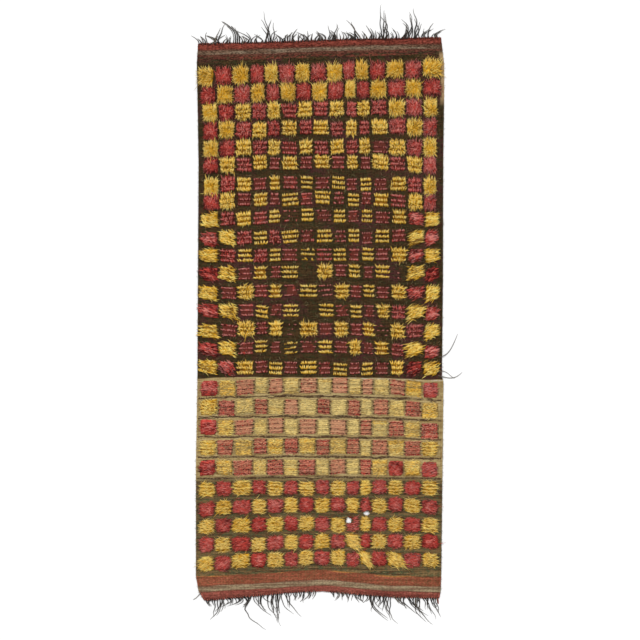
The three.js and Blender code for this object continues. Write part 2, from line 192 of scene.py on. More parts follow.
# Blocks over the first wear show their lines of knots, and over the second the ground too. The
# knots begin to be lost at the third.
WORN = 0.3
BARE = 0.8
LOST = 1.1

# Holes worn through the ground: X, Y, width, length and turn, and how their rims go in and out
HOLES = ((129, -899, 29, 28, 0.4), (209, -867, 32, 22, -0.2))
HOLE_RAGGEDNESS = (1, 0.82, 1.08, 0.9, 0.78, 1.05, 0.88, 1.02, 0.8)

# How much wider the bare edges are beside some of the rows, in mm
LEFT_EDGE_ROWS = (0, 2, 8, 11)
LEFT_EDGE = (2, 12, 11, 3)
RIGHT_EDGE_ROWS = (1, 2, 8, 16, 20, 23, 25)
RIGHT_EDGE = (2, 18, 20, 13, 11, 9, 2)

# The spread of the ways in which blocks differ from a plain one: what the left and right sides
# fall short of the lines between the columns in mm, the slope of the block's lines, how much
# wider its far side is, and how far it lies to the far end of its place in mm
SHAPE_SPREAD = (3.2, 3.2, 0.045, 0.11, 2.4)
# The rows whose outer blocks slope down towards the rug's middle, and their slopes
SLOPING_ROWS = slice(9, KHAKI_ROW)
LEFT_SLOPE = -0.12
RIGHT_SLOPE = 0.14


# Places on the rug


def row_y(row, across):
    """Y of a row's middle line, in mm, where across runs from 0 at the left to 1 at the right."""
    left, middle, right = ROWS[row]
    arch = 4 * middle - 2 * left - 2 * right
    return left + (right - left) * across + arch * across * (1 - across)


def side_x(side, y):
    """X in mm of one of the cloth's long edges at y."""
    return np.interp(y, SIDES[:, 0], SIDES[:, 1 if side == "left" else 2])


def end_y(end, x):
    """Y in mm of one of the cloth's ends at x."""
    return np.interp(x, end[:, 0], end[:, 1])


def between_sides(share, y):
    """X in mm of places at y, a share of the way from the left side to the right one."""
    left, right = side_x("left", y), side_x("right", y)
    return left + (right - left) * share


def share_across(x, y):
    """How far places lie from the left side to the right one, where 0 and 1 are the sides."""
    left, right = side_x("left", y), side_x("right", y)
    return (x - left) / (right - left)


def column_lines(row):
    """X of the lines between a row's blocks, in mm."""
    widths = np.array([np.interp(row + 1, COLUMN_ROWS, measured) for measured in COLUMN_WIDTHS])
    y = row_y(row, 0.5)
    left = side_x("left", y) + SELVAGE_WIDTH + np.interp(row, LEFT_EDGE_ROWS, LEFT_EDGE)
    right = side_x("right", y) - SELVAGE_WIDTH
    lines = np.concatenate([[0], np.cumsum(widths)])
    lines = left + lines / lines[-1] * (right - left)
    lines[-1] -= np.interp(row, RIGHT_EDGE_ROWS, RIGHT_EDGE)
    return lines


def is_red(row, column):
    return (row + column) % 2 == 1


def own_number(table, row, column, usual):
    """A block's own number in a table by row and column, or the usual one where it has none."""
    return table.get(row + 1, {}).get(column + 1, usual)


def wear_of(row, column):
    """How worn a block's pile is."""
    own = own_number(BLOCK_WEAR, row, column, None)
    if own is not None:
        return own
    if row < FAR_ROWS or row >= NEAR_ROW:
        return ROW_WEAR[row]
    worn = ROW_WEAR[row] * COLUMN_WEAR[column]
    if is_red(row, column) and worn > RED_WEARS_FROM:
        worn += RED_WEAR
    return worn


def unit(values):
    """Values kept between 0 and 1."""
    return np.clip(values, 0, 1)


def in_khaki(row):
    """1 in the rows on the khaki part whose pile has faded to its colour, and 0 elsewhere."""
    return ((row >= KHAKI_ROW) & (row < NEAR_ROW)) * 1.0


def over_hole(x, y, reach):
    """True where a place in mm lies within reach times the size of one of the holes."""
    found = np.zeros(np.shape(x), bool)
    for hole_x, hole_y, width, length, _ in HOLES:
        found |= np.hypot((x - hole_x) / width, (y - hole_y) / length) < reach / 2
    return found


def all_blocks(rows):
    """The row and column of each block in some of the rows."""
    return [(row, column) for row in rows for column in range(COLUMN_COUNT)]


LINES = np.array([column_lines(row) for row in range(ROW_COUNT)])
WEAR = np.array([wear_of(*block) for block in all_blocks(range(ROW_COUNT))])
WEAR = WEAR.reshape(ROW_COUNT, COLUMN_COUNT)

BLOCK_SHAPES = rng.normal(0, 1, (ROW_COUNT, COLUMN_COUNT, 5)) * SHAPE_SPREAD
BLOCK_SHAPES[..., :2] = np.abs(BLOCK_SHAPES[..., :2]) * np.clip(WEAR, 0.4, 1.1)[..., None]
BLOCK_SHAPES[KHAKI_ROW:, :, :2] *= 0.5
BLOCK_SHAPES[SLOPING_ROWS, :2, 2] += LEFT_SLOPE
BLOCK_SHAPES[SLOPING_ROWS, -2:, 2] += RIGHT_SLOPE


# Meshes


def add_fields(mesh, domain, fields):
    """Adds named numbers to a mesh's points or to its faces' corners."""
    for name, values in dict(fields).items():
        attribute = mesh.attributes.new(name, "FLOAT", domain)
        attribute.data.foreach_set("value", np.ravel(values).astype(np.float32))


def new_mesh(name, points, quads, triangles, material, fields=(), corner_fields=(), uv=None):
    """A mesh object from arrays. quads and triangles hold point numbers, and the fields are
    named numbers on its points or on its faces' corners."""
    loops = np.concatenate([np.ravel(quads), np.ravel(triangles)]).astype(np.int32)
    sizes = np.concatenate([np.full(len(quads), 4), np.full(len(triangles), 3)])
    starts = np.concatenate([[0], np.cumsum(sizes)[:-1]]).astype(np.int32)
    mesh = bpy.data.meshes.new(name)
    mesh.vertices.add(len(points))
    mesh.vertices.foreach_set("co", np.ravel(points).astype(np.float32))
    mesh.loops.add(len(loops))
    mesh.loops.foreach_set("vertex_index", loops)
    mesh.polygons.add(len(sizes))
    mesh.polygons.foreach_set("loop_start", starts)
    mesh.polygons.foreach_set("use_smooth", np.ones(len(sizes), bool))
    mesh.update(calc_edges=True)
    add_fields(mesh, "POINT", fields)
    add_fields(mesh, "CORNER", corner_fields)
    if uv is not None:
        layer = mesh.uv_layers.new(name="OFBake")
        layer.uv.foreach_set("vector", np.ravel(uv).astype(np.float32))
    mesh.materials.append(material)
    obj = bpy.data.objects.new(name, mesh)
    bpy.context.collection.objects.link(obj)
    return obj


def pairs(first, second):
    """Each number below first with each one below second, which changes quickest."""
    i, j = np.meshgrid(np.arange(first), np.arange(second), indexing="ij")
    return i.ravel(), j.ravel()


def repeated(faces, count, points):
    """The faces of one shape, again for each of count shapes that have so many points."""
    first = np.arange(count)[:, None, None] * points
    return (first + faces[None]).reshape(-1, faces.shape[1])


def yarn_corners(steps, sides):
    """How far round a yarn and how far along it the corners of its faces lie, from 0 to 1: first
    for the four-sided faces of its shaft, then for the three-sided ones of its tip."""
    j, k = pairs(steps - 2, sides)
    shaft = np.stack([
        np.stack([k + 1, k, k, k + 1], axis=1) / sides,
        np.stack([j, j, j + 1, j + 1], axis=1) / (steps - 1),
    ], axis=2)
    k = np.arange(sides)
    last = np.full(sides, steps - 2) / (steps - 1)
    tip = np.stack([
        np.stack([k + 1, k, k + 0.5], axis=1) / sides,
        np.stack([last, last, np.ones(sides)], axis=1),
    ], axis=2)
    return shaft, tip


def yarn_map(count, steps, sides):
    """The corners' places on the bake's map, with a small cell for each yarn."""
    cells = math.ceil(math.sqrt(count))
    cell = np.stack([np.arange(count) % cells, np.arange(count) // cells], axis=1) / cells
    shaft, tip = yarn_corners(steps, sides)
    root = np.zeros((sides - 2, 3, 2))
    root[:, 1, 0] = 1 / sides
    root[:, 2, 1] = 1 / (steps - 1)
    margin = 0.08

    def placed(shape):
        inside = margin + shape[None] * (1 - 2 * margin)
        return cell[:, None, None, :] + inside / cells

    quads = placed(shaft).reshape(-1, 2)
    triangles = np.concatenate([placed(tip), placed(root)], axis=1).reshape(-1, 2)
    return np.concatenate([quads, triangles])


def ply_turns(turns, steps, sides):
    """How many turns of the twist lie before each corner, for yarns of so many turns."""
    shaft, tip = yarn_corners(steps, sides)
    turns = turns[:, None, None]
    quads = shaft[None, ..., 0] + turns * shaft[None, ..., 1]
    tips = tip[None, ..., 0] + turns * tip[None, ..., 1]
    roots = np.zeros((len(turns), sides - 2, 3))
    return np.concatenate([quads.ravel(), np.concatenate([tips, roots], axis=1).ravel()])


def yarns(name, lines, radii, sides, material, turns_per_metre=0.0, face_up=False, **fields):
    """One mesh of many tapering yarns, each ending in a point. lines is (yarns, steps, 3) in
    metres, radii is (yarns, steps), and a field is one number for each yarn. A yarn has an edge
    on top, or a face with face_up."""
    count, steps, _ = lines.shape
    along = np.gradient(lines, axis=1)
    along /= np.linalg.norm(along, axis=2, keepdims=True) + 1e-12
    side = np.cross(along, (0.0, 0.0, 1.0))
    flat = np.linalg.norm(side, axis=2, keepdims=True)
    side = np.where(flat > 0.05, side / (flat + 1e-12), (1.0, 0.0, 0.0))
    lift = np.cross(side, along)
    angle = np.arange(sides) / sides * math.tau + math.pi * (1.5 if face_up else 0.5)
    round_it = (
        np.cos(angle)[None, None, :, None] * side[:, :-1, None, :]
        + np.sin(angle)[None, None, :, None] * lift[:, :-1, None, :]
    )
    rings = lines[:, :-1, None, :] + round_it * radii[:, :-1, None, None]
    points = np.concatenate([rings.reshape(count, -1, 3), lines[:, -1:, :]], axis=1)
    each = (steps - 1) * sides + 1

    j, k = pairs(steps - 2, sides)
    after = (k + 1) % sides
    shaft = np.stack([
        j * sides + after, j * sides + k, (j + 1) * sides + k, (j + 1) * sides + after,
    ], axis=1)
    k = np.arange(sides)
    last = (steps - 2) * sides
    tip = np.stack([last + (k + 1) % sides, last + k, np.full(sides, each - 1)], axis=1)
    fan = np.arange(1, sides - 1)
    root = np.stack([np.zeros(sides - 2, int), fan, fan + 1], axis=1)
    quads = repeated(shaft, count, each)
    triangles = repeated(np.concatenate([tip, root]), count, each)

    ring_share = np.repeat(np.linspace(0, 1, steps)[:-1], sides)
    point_fields = {"along": np.tile(np.concatenate([ring_share, [1.0]]), count)}
    for field, values in fields.items():
        point_fields[field] = np.repeat(values, each)
    corner_fields = {}
    if turns_per_metre:
        length = np.linalg.norm(np.diff(lines, axis=1), axis=2).sum(axis=1)
        corner_fields["ply"] = ply_turns(length * turns_per_metre, steps, sides)
    return new_mesh(
        name, points.reshape(-1, 3), quads, triangles, material,
        point_fields, corner_fields, yarn_map(count, steps, sides),
    )


# The outline of a ridge from side to side: shares of its half width and of its height
RIDGE_OFFSETS = np.array([1.0, 0.72, 0.0, -0.72, -1.0])
RIDGE_LIFTS = np.array([0.0, 0.78, 1.0, 0.78, 0.0])
RIDGE_CAP = np.array([(0, 1, 2), (0, 2, 3), (0, 3, 4)])


def ridges(name, paths, half_widths, heights, bases, material, **fields):
    """Low rounded ridges along paths, such as a line of knots. paths is (ridges, stations, 2),
    the widths, heights and bases are (ridges, stations), all in mm, and fields too."""
    count, stations, _ = paths.shape
    along = np.gradient(paths, axis=1)
    along /= np.linalg.norm(along, axis=2, keepdims=True) + 1e-9
    side = np.stack([-along[..., 1], along[..., 0]], axis=2)
    ring = len(RIDGE_OFFSETS)
    aside = (half_widths[:, :, None] * RIDGE_OFFSETS)[..., None]
    place = paths[:, :, None, :] + side[:, :, None, :] * aside
    z = bases[:, :, None] + heights[:, :, None] * RIDGE_LIFTS
    points = np.concatenate([place, z[..., None]], axis=3).reshape(-1, 3)
    j, k = pairs(stations - 1, ring)
    after = (k + 1) % ring
    shaft = np.stack([
        j * ring + k, j * ring + after, (j + 1) * ring + after, (j + 1) * ring + k,
    ], axis=1)[:, ::-1]
    caps = np.concatenate([RIDGE_CAP, RIDGE_CAP[:, ::-1] + (stations - 1) * ring])
    quads = repeated(shaft, count, stations * ring)
    triangles = repeated(caps, count, stations * ring)
    point_fields = {field: np.repeat(np.ravel(values), ring) for field, values in fields.items()}
    return new_mesh(name, points * MM, quads, triangles, material, point_fields)


# Materials


def srgb(red, green, blue):
    """A colour as linear numbers, from the 0 to 255 scale of a screen."""
    def linear(value):
        value /= 255
        return value / 12.92 if value <= 0.04045 else ((value + 0.055) / 1.055) ** 2.4
    return (linear(red), linear(green), linear(blue), 1.0)


class Nodes:
    """Short ways to add and link nodes in one tree."""

    def __init__(self, tree):
        self.tree = tree

    def add(self, kind, inputs=(), **settings):
        node = self.tree.nodes.new(kind)
        for key, value in settings.items():
            setattr(node, key, value)
        for key, value in dict(inputs).items():
            self.feed(node.inputs[key], value)
        return node

    def feed(self, socket, value):
        if isinstance(value, bpy.types.NodeSocket):
            self.tree.links.new(value, socket)
        else:
            socket.default_value = value

    def math(self, operation, *values, clamp=False):
        settings = {"operation": operation, "use_clamp": clamp}
        return self.add("ShaderNodeMath", dict(enumerate(values)), **settings).outputs[0]

    def times(self, value, *others):
        for other in others:
            value = self.math("MULTIPLY", value, other)
        return value

    def mix(self, share, a, b, blend="MIX"):
        node = self.add("ShaderNodeMix", data_type="RGBA", blend_type=blend)
        self.feed(node.inputs[0], share)
        self.feed(node.inputs[6], a)
        self.feed(node.inputs[7], b)
        return node.outputs[2]

    def between(self, value, low, high, out_low=0.0, out_high=1.0):
        """value from low to high, smoothly brought to out_low to out_high."""
        node = self.add(
            "ShaderNodeMapRange",
            {"Value": value, "From Min": low, "From Max": high, "To Min": out_low, "To Max": out_high},
            interpolation_type="SMOOTHSTEP",
        )
        return node.outputs[0]

    def toned(self, colour, value, low, high, darkest, lightest):
        """colour times darkest to lightest, as value goes from low to high."""
        tone = self.between(value, low, high, darkest, lightest)
        grey = self.add("ShaderNodeCombineColor", {0: tone, 1: tone, 2: tone})
        return self.mix(1.0, colour, grey.outputs[0], "MULTIPLY")

    def field(self, name):
        return self.add("ShaderNodeAttribute", attribute_name=name).outputs["Fac"]

    def noise(self, vector, scale, detail=2.0, stretch=(1, 1, 1)):
        place = self.add("ShaderNodeMapping", {"Vector": vector, "Scale": stretch})
        inputs = {"Vector": place.outputs[0], "Scale": scale, "Detail": detail}
        return self.add("ShaderNodeTexNoise", inputs).outputs[0]

    def ribs(self, vector, direction, scale, distortion, detail):
        inputs = {"Vector": vector, "Scale": scale, "Distortion": distortion, "Detail": detail}
        return self.add("ShaderNodeTexWave", inputs, bands_direction=direction).outputs["Fac"]

    def here(self):
        return self.add("ShaderNodeTexCoord").outputs["Object"]


def effect(name, inputs, outputs):
    """A shader node group with named sockets. inputs and outputs are name to socket kind."""
    tree = bpy.data.node_groups.new(name, "ShaderNodeTree")
    for socket, kind in inputs.items():
        tree.interface.new_socket(socket, in_out="INPUT", socket_type=kind)
    for socket, kind in outputs.items():
        tree.interface.new_socket(socket, in_out="OUTPUT", socket_type=kind)
    nodes = Nodes(tree)
    return tree, nodes, nodes.add("NodeGroupInput").outputs, nodes.add("NodeGroupOutput").inputs


NUMBER = "NodeSocketFloat"
COLOUR = "NodeSocketColor"


def dyed_wool():
    """Uneven dye, sun-faded tips and painted shade at the roots on one colour of yarn."""
    tree, n, given, out = effect(
        "dyed_wool",
        {"Deep": COLOUR, "Fresh": COLOUR, "Pale": COLOUR, "Faded": COLOUR, "Drab": COLOUR},
        {"Color": COLOUR, "Fibre": NUMBER},
    )
    along = n.field("along")
    patch = n.noise(n.here(), 60.0, 1.0)
    uneven = n.math("MULTIPLY_ADD", patch, 0.28, -0.14)
    shade = n.math("ADD", n.field("shade"), uneven, clamp=True)
    colour = n.mix(n.between(shade, 0.0, 0.45), given["Deep"], given["Fresh"])
    colour = n.mix(n.between(shade, 0.6, 1.0), colour, given["Pale"])
    faded = n.math("MULTIPLY", n.field("fade"), n.between(along, 0.1, 0.6), clamp=True)
    colour = n.mix(faded, colour, given["Faded"])
    drab = n.toned(given["Drab"], shade, 0.0, 1.0, 0.8, 1.22)
    colour = n.mix(n.field("drab"), colour, drab)
    # Painted shade: the wool darkens towards its roots, where the pile lies in shade.
    colour = n.toned(colour, along, 0.0, 0.25, 0.6, 1.0)
    fibre = n.noise(n.here(), 900.0, 3.0)
    colour = n.toned(colour, fibre, 0.2, 0.8, 0.8, 1.15)
    n.feed(out["Color"], colour)
    n.feed(out["Fibre"], fibre)
    return tree


def material(name):
    """A new material with one plain surface shader, its nodes and that shader."""
    made = bpy.data.materials.new(name)
    made.use_nodes = True
    made.node_tree.nodes.clear()
    nodes = Nodes(made.node_tree)
    shader = nodes.add("ShaderNodeBsdfPrincipled")
    nodes.add("ShaderNodeOutputMaterial", {"Surface": shader.outputs[0]})
    return made, nodes, shader


def yarn_surface(n, shader, colour, height, strength, depth, rough, gloss):
    """Links a yarn's colour, roughness and relief, which is depth metres deep, to its shader, and
    sets its gloss."""
    bump = n.add("ShaderNodeBump", {"Height": height, "Strength": strength, "Distance": depth})
    n.feed(shader.inputs["Base Color"], colour)
    n.feed(shader.inputs["Normal"], bump.outputs[0])
    n.feed(shader.inputs["Roughness"], rough)
    shader.inputs["Specular IOR Level"].default_value = gloss


def wool(name, colours):
    made, n, shader = material(name)
    group = n.add("ShaderNodeGroup", node_tree=DYED_WOOL)
    for socket, value in colours.items():
        group.inputs[socket].default_value = srgb(*value)
    fibre = group.outputs["Fibre"]
    rough = n.between(fibre, 0.2, 0.8, 0.85, 0.98)
    yarn_surface(n, shader, group.outputs["Color"], fibre, 0.35, 0.001, rough, 0.06)
    shader.inputs["Sheen Weight"].default_value = 0.02
    return made


# The noises by which the ground's yarns vary: scale, detail and stretch
GROUND_NOISES = {
    "streak": (14.0, 4.0, (0.35, 7, 1)),
    "fine": (130.0, 3.0, (0.3, 3, 1)),
    "blotch": (7.0, 2.0, (1, 1, 1)),
    "wobble": (9.0, 1.0, (1, 1, 1)),
    "jitter": (160.0, 1.0, (1, 0.2, 1)),
    "mottle": (120.0, 2.0, (0.5, 1.4, 1)),
    "speckle": (150.0, 2.0, (0.8, 1.2, 1)),
    "shine": (20.0, 3.0, (0.4, 9, 1)),
    "stitches": (150.0, 2.0, (0.7, 1.5, 1)),
}
# The ground's yarns: the dark and light colours of their streaks, then their specks. Each speck
# has the noise that it follows, where that noise starts and ends it, how strong it is, and its
# colour.
GROUND_YARNS = {
    "dark": ((56, 42, 24), (78, 58, 36), (
        ("blotch", 0.46, 0.66, 0.85, (82, 44, 46)),
        ("mottle", 0.5, 0.58, 0.75, (53, 55, 33)),
        ("speckle", 0.52, 0.62, 0.65, (34, 24, 16)),
        ("fine", 0.6, 0.76, 1.0, (108, 90, 64)),
    )),
    "khaki": ((158, 134, 88), (192, 170, 120), (
        ("fine", 0.5, 0.66, 0.8, (128, 102, 60)),
    )),
    "drab": ((76, 56, 38), (124, 100, 66), (
        ("mottle", 0.48, 0.6, 0.8, (76, 82, 56)),
        ("fine", 0.55, 0.75, 1.0, (150, 124, 84)),
    )),
    "brick_red": ((98, 46, 36), (128, 62, 50), (
        ("fine", 0.55, 0.75, 1.0, (150, 82, 68)),
    )),
    "grey_brown": ((96, 72, 56), (118, 96, 78), (
        ("shine", 0.5, 0.66, 0.8, (138, 124, 104)),
    )),
    "maroon": ((76, 46, 38), (116, 60, 48), (
        ("mottle", 0.46, 0.58, 0.8, (56, 54, 36)),
    )),
    "terracotta": ((122, 68, 48), (150, 84, 62), (
        ("fine", 0.6, 0.75, 1.0, (176, 116, 86)),
        ("speckle", 0.5, 0.62, 0.6, (104, 82, 54)),
    )),
    "khaki_band": ((118, 96, 74), (158, 140, 110), (
        ("fine", 0.55, 0.7, 1.0, (134, 98, 78)),
    )),
    "crimson": ((134, 68, 58), (164, 90, 76), (
        ("fine", 0.55, 0.75, 1.0, (188, 120, 102)),
        ("speckle", 0.5, 0.62, 0.5, (108, 70, 54)),
    )),
}
# Where the bands of the striped ends change, in mm from the cloth's end, and where they stop
FAR_BANDS = (28, 34, 52, 62, 78)
FAR_BANDS_END = (84, 88)
NEAR_BANDS = (26, 30, 53, 57, 93, 98)
NEAR_BANDS_END = (112, 116)
# Where the ground changes from dark to khaki, with pale shots of weft beside, and from khaki to
# drab, in rows
TO_KHAKI = (17.49, 17.53)
PALE_SHOTS = 17.56
TO_DRAB = (22.3, 22.8)


def yarn_colours(n, noises):
    """The colours of the ground's yarns, streaked along the weft and specked."""
    made = {}
    for name, (dark, light, specks) in GROUND_YARNS.items():
        colour = n.mix(n.between(noises["streak"], 0.36, 0.64), srgb(*dark), srgb(*light))
        for noise, low, high, share, other in specks:
            colour = n.mix(n.between(noises[noise], low, high, 0.0, share), colour, srgb(*other))
        made[name] = colour
    return made


def banded(n, distance, stops, colours):
    """Bands of colour by distance, in mm: stops are where each next colour starts."""
    colour = colours[0]
    for stop, following in zip(stops, colours[1:]):
        colour = n.mix(n.between(distance, stop - 2.5, stop + 2.5), colour, following)
    return colour


def woven_ground():
    """The flat-woven ground: striped ends, a dark brown part and a khaki part."""
    made, n, shader = material("woven_ground")
    here = n.here()
    rows = n.field("rows")
    from_far = n.field("from_far")
    from_near = n.field("from_near")
    across = n.field("across")
    noises = {name: n.noise(here, *values) for name, values in GROUND_NOISES.items()}
    yarn = yarn_colours(n, noises)
    fine = noises["fine"]

    # Rows are counted from the far end, and the weft's colour changes between two of them.
    moved = n.math("MULTIPLY_ADD", noises["wobble"], 0.12, -0.06)
    rows_here = n.math("ADD", rows, moved)
    colour = n.mix(n.between(rows_here, *TO_KHAKI), yarn["dark"], yarn["khaki"])
    colour = n.mix(n.between(rows_here, *TO_DRAB), colour, yarn["drab"])

    # Pale shots of weft lie along the change of colour.
    join = n.math("ABSOLUTE", n.math("SUBTRACT", rows_here, PALE_SHOTS))
    there = n.between(join, 0.015, 0.05, 1.0, 0.0)
    pale = n.times(there, n.between(across, 0.35, 0.5), n.between(fine, 0.45, 0.6))
    colour = n.mix(pale, colour, srgb(196, 186, 164))

    # The striped ends, whose bands waver
    wavy = n.math("MULTIPLY_ADD", noises["wobble"], 11.0, -5.5)
    wavy = n.math("ADD", wavy, n.times(noises["jitter"], 2.5))
    dark_red = srgb(94, 58, 46)
    far_bands = banded(n, n.math("ADD", from_far, wavy), FAR_BANDS, (
        yarn["brick_red"], dark_red, yarn["grey_brown"], dark_red, yarn["maroon"], yarn["dark"],
    ))
    amber = n.mix(n.between(noises["streak"], 0.5, 0.58), yarn["terracotta"], srgb(172, 114, 62))
    # The first near band is wider at the left.
    wider = n.between(across, 0.0, 0.35, 13.0, 0.0)
    moved_near = n.math("SUBTRACT", n.math("ADD", from_near, wavy), wider)
    near_line = srgb(116, 74, 58)
    near_bands = banded(n, moved_near, NEAR_BANDS, (
        yarn["crimson"], near_line, yarn["khaki_band"], near_line, yarn["terracotta"], amber,
        yarn["drab"],
    ))
    far_bands = n.toned(far_bands, noises["stitches"], 0.34, 0.66, 0.5, 1.5)
    near_bands = n.toned(near_bands, noises["stitches"], 0.34, 0.66, 0.8, 1.34)
    colour = n.mix(n.between(from_far, *FAR_BANDS_END, 1.0, 0.0), colour, far_bands)
    colour = n.mix(n.between(from_near, *NEAR_BANDS_END, 1.0, 0.0), colour, near_bands)

    # The right edge is tan beside the first rows.
    before, after = n.between(rows, 2.4, 3.0, 1.0, 0.0), n.between(rows, 0.4, 0.6)
    tan = n.times(n.between(across, 0.982, 0.99), before, after)
    colour = n.mix(tan, colour, srgb(176, 148, 108))

    # Fine weft ribs across the cloth, over fainter warps. The colour follows their relief: painted
    # shade in the grooves and painted highlight on the crests.
    wefts = n.ribs(here, "Y", 80.0, 1.6, 2.0)
    colour = n.toned(colour, wefts, 0.0, 1.0, 0.72, 1.1)
    warps = n.ribs(here, "X", 26.0, 0.8, 1.0)
    colour = n.toned(colour, warps, 0.0, 1.0, 0.94, 1.03)
    height = n.math("MULTIPLY_ADD", wefts, 0.6, n.times(warps, 0.4))
    rough = n.between(fine, 0.2, 0.8, 0.86, 0.98)
    yarn_surface(n, shader, colour, height, 0.6, 0.0015, rough, 0.04)
    return made


def weft_yarn():
    """Single shots and frayed ends of weft, dark where shade is 0 and khaki where it is 1."""
    made, n, shader = material("weft_yarn")
    fuzz = n.noise(n.here(), 500.0, 3.0)
    colour = n.mix(n.field("shade"), srgb(74, 52, 34), srgb(176, 162, 118))
    colour = n.toned(colour, fuzz, 0.2, 0.8, 0.7, 1.2)
    rough = n.between(fuzz, 0.2, 0.8, 0.85, 0.97)
    yarn_surface(n, shader, colour, fuzz, 0.4, 0.0008, rough, 0.2)
    return made


def warp_yarn():
    """Dark plied warp yarn, with its twist."""
    made, n, shader = material("warp_yarn")
    shade = n.field("shade")
    ply = n.math("SINE", n.times(n.field("ply"), 2 * math.tau))
    colour = n.mix(n.between(shade, 0.0, 0.7), srgb(28, 24, 22), srgb(54, 47, 42))
    colour = n.mix(n.between(shade, 0.85, 1.0), colour, srgb(118, 108, 94))
    worn_tip = n.between(n.field("along"), 0.3, 1.0, 0.0, 0.85)
    colour = n.mix(worn_tip, colour, srgb(124, 120, 114))
    fuzz = n.noise(n.here(), 700.0, 3.0)
    # The colour follows the twist's relief: painted shade in its grooves and painted highlight on its
    # ridges.
    colour = n.toned(colour, ply, -1.0, 1.0, 0.7, 1.1)
    height = n.math("MULTIPLY_ADD", ply, 0.35, n.times(fuzz, 0.4))
    rough = n.between(fuzz, 0.2, 0.8, 0.8, 0.95)
    yarn_surface(n, shader, colour, height, 0.5, 0.0008, rough, 0.25)
    return made


def floor_paint():
    made, n, shader = material("pale_floor")
    grain = n.noise(n.here(), 40.0, 2.0)
    n.feed(shader.inputs["Base Color"], n.mix(grain, srgb(250, 250, 250), srgb(252, 252, 252)))
    shader.inputs["Roughness"].default_value = 0.9
    return made


DYED_WOOL = dyed_wool()
YELLOW_WOOL = wool("yellow_wool", {
    "Deep": (124, 78, 6),
    "Fresh": (240, 184, 48),
    "Pale": (255, 230, 122),
    "Faded": (250, 222, 136),
    "Drab": (222, 200, 134),
})
RED_WOOL = wool("red_wool", {
    "Deep": (80, 20, 17),
    "Fresh": (206, 76, 65),
    "Pale": (240, 150, 136),
    "Faded": (216, 146, 136),
    "Drab": (208, 156, 120),
})
WOVEN_GROUND = woven_ground()
WARP_YARN = warp_yarn()
WEFT_YARN = weft_yarn()


# Ground


# The strips of the ground across the rug, and those along it for each row
GROUND_ACROSS = 63
GROUND_ALONG = 5
# How far from the edges the ground's hollows fade out, in mm
FLAT_EDGE = 40
# How far below and above the floor the cutters of the holes reach, in mm
CUTTER_LOW = -10.0
CUTTER_HIGH = 20.0


def ground_place(across, rows):
    """X and Y in mm of places on the cloth. rows counts from 0 at the far edge, through 1 to 27
    at the rows' middle lines, to 28 at the near edge."""
    lines = [row_y(row, across) for row in range(ROW_COUNT)]
    far, near = (
        end_y(end, end[0, 0] + (end[-1, 0] - end[0, 0]) * across) for end in (FAR_END, NEAR_END)
    )
    heights = np.array([far, *lines, near])
    above = np.clip(np.floor(rows).astype(int), 0, ROW_COUNT)
    at = np.arange(len(across))
    high, low = heights[above, at], heights[above + 1, at]
    y = high + (low - high) * (rows - above)
    return between_sides(across, y), y


def ground_waves(x, y):
    """Slight hollows and rises of the worn cloth, in mm."""
    slow = np.sin(x / 170 + 1.3) * np.sin(y / 240 + 0.4)
    quick = np.sin(x / 61 + y / 95) * np.sin(y / 71 - x / 130)
    return GROUND_HOLLOW * (0.6 * slow + 0.4 * quick)


def ground_fields(x, y):
    """The numbers by which the ground is coloured, at places on the cloth."""
    across = share_across(x, y)
    far, near = end_y(FAR_END, x), end_y(NEAR_END, x)
    middles = [row_y(row, unit(across)) for row in range(ROW_COUNT)]
    lines = np.array([far, *middles, near])
    above = np.clip((lines >= y).sum(axis=0) - 1, 0, ROW_COUNT)
    at = np.arange(len(x))
    high, low = lines[above, at], lines[above + 1, at]
    rows = above + unit((high - y) / (high - low))
    return {"rows": rows, "across": across, "from_far": far - y, "from_near": y - near}


def woven_cloth():
    """The ground as one closed sheet with a top, an underside and a rim, and worn holes."""
    wide = GROUND_ACROSS + 1
    spans = np.linspace(0, ROW_COUNT + 1, (ROW_COUNT + 1) * GROUND_ALONG + 1)
    long = len(spans)
    across, rows = np.meshgrid(np.linspace(0, 1, wide), spans)
    across, rows = across.ravel(), rows.ravel()
    x, y = ground_place(across, rows)
    edge = np.minimum(across, 1 - across) * (SIDES[0, 2] - SIDES[0, 1])
    top = GROUND_THICKNESS + ground_waves(x, y) * unit(edge / FLAT_EDGE)
    upper = np.stack([x, y, top], axis=1) * MM
    lower = np.stack([x, y, np.zeros_like(x)], axis=1) * MM
    count = wide * long

    j, i = pairs(long - 1, wide - 1)
    corner = j * wide + i
    over = np.stack([corner + wide, corner + wide + 1, corner + 1, corner], axis=1)
    under = over[:, ::-1] + count
    side = np.arange(long - 1) * wide
    left = np.stack([side, side + count, side + wide + count, side + wide], axis=1)
    side = side + wide - 1
    right = np.stack([side + wide, side + wide + count, side + count, side], axis=1)
    line = np.arange(wide - 1)
    far = np.stack([line + 1, line + 1 + count, line + count, line], axis=1)
    line = line + (long - 1) * wide
    near = np.stack([line, line + count, line + 1 + count, line + 1], axis=1)
    quads = np.concatenate([over, under, left, right, far, near])
    points = np.concatenate([upper, lower])
    cloth = new_mesh("woven_cloth", points, quads, np.empty((0, 3), int), WOVEN_GROUND)
    for hole in HOLES:
        cut_hole(cloth, hole)
    places = np.empty(len(cloth.data.vertices) * 3, np.float32)
    cloth.data.vertices.foreach_get("co", places)
    places = places.reshape(-1, 3) / MM
    add_fields(cloth.data, "POINT", ground_fields(places[:, 0], places[:, 1]))
    return cloth


def hole_rim(hole, points, reach=1.0):
    """X and Y in mm of points on the ragged rim of a hole."""
    x, y, width, length, turn = hole
    angle = np.arange(points) / points * math.tau
    bumps = len(HOLE_RAGGEDNESS)
    around = (*HOLE_RAGGEDNESS, HOLE_RAGGEDNESS[0])
    ragged = np.interp(angle / math.tau * bumps, np.arange(bumps + 1), around) * reach
    a, b = np.cos(angle) * ragged * width / 2, np.sin(angle) * ragged * length / 2
    return x + a * math.cos(turn) - b * math.sin(turn), y + a * math.sin(turn) + b * math.cos(turn)


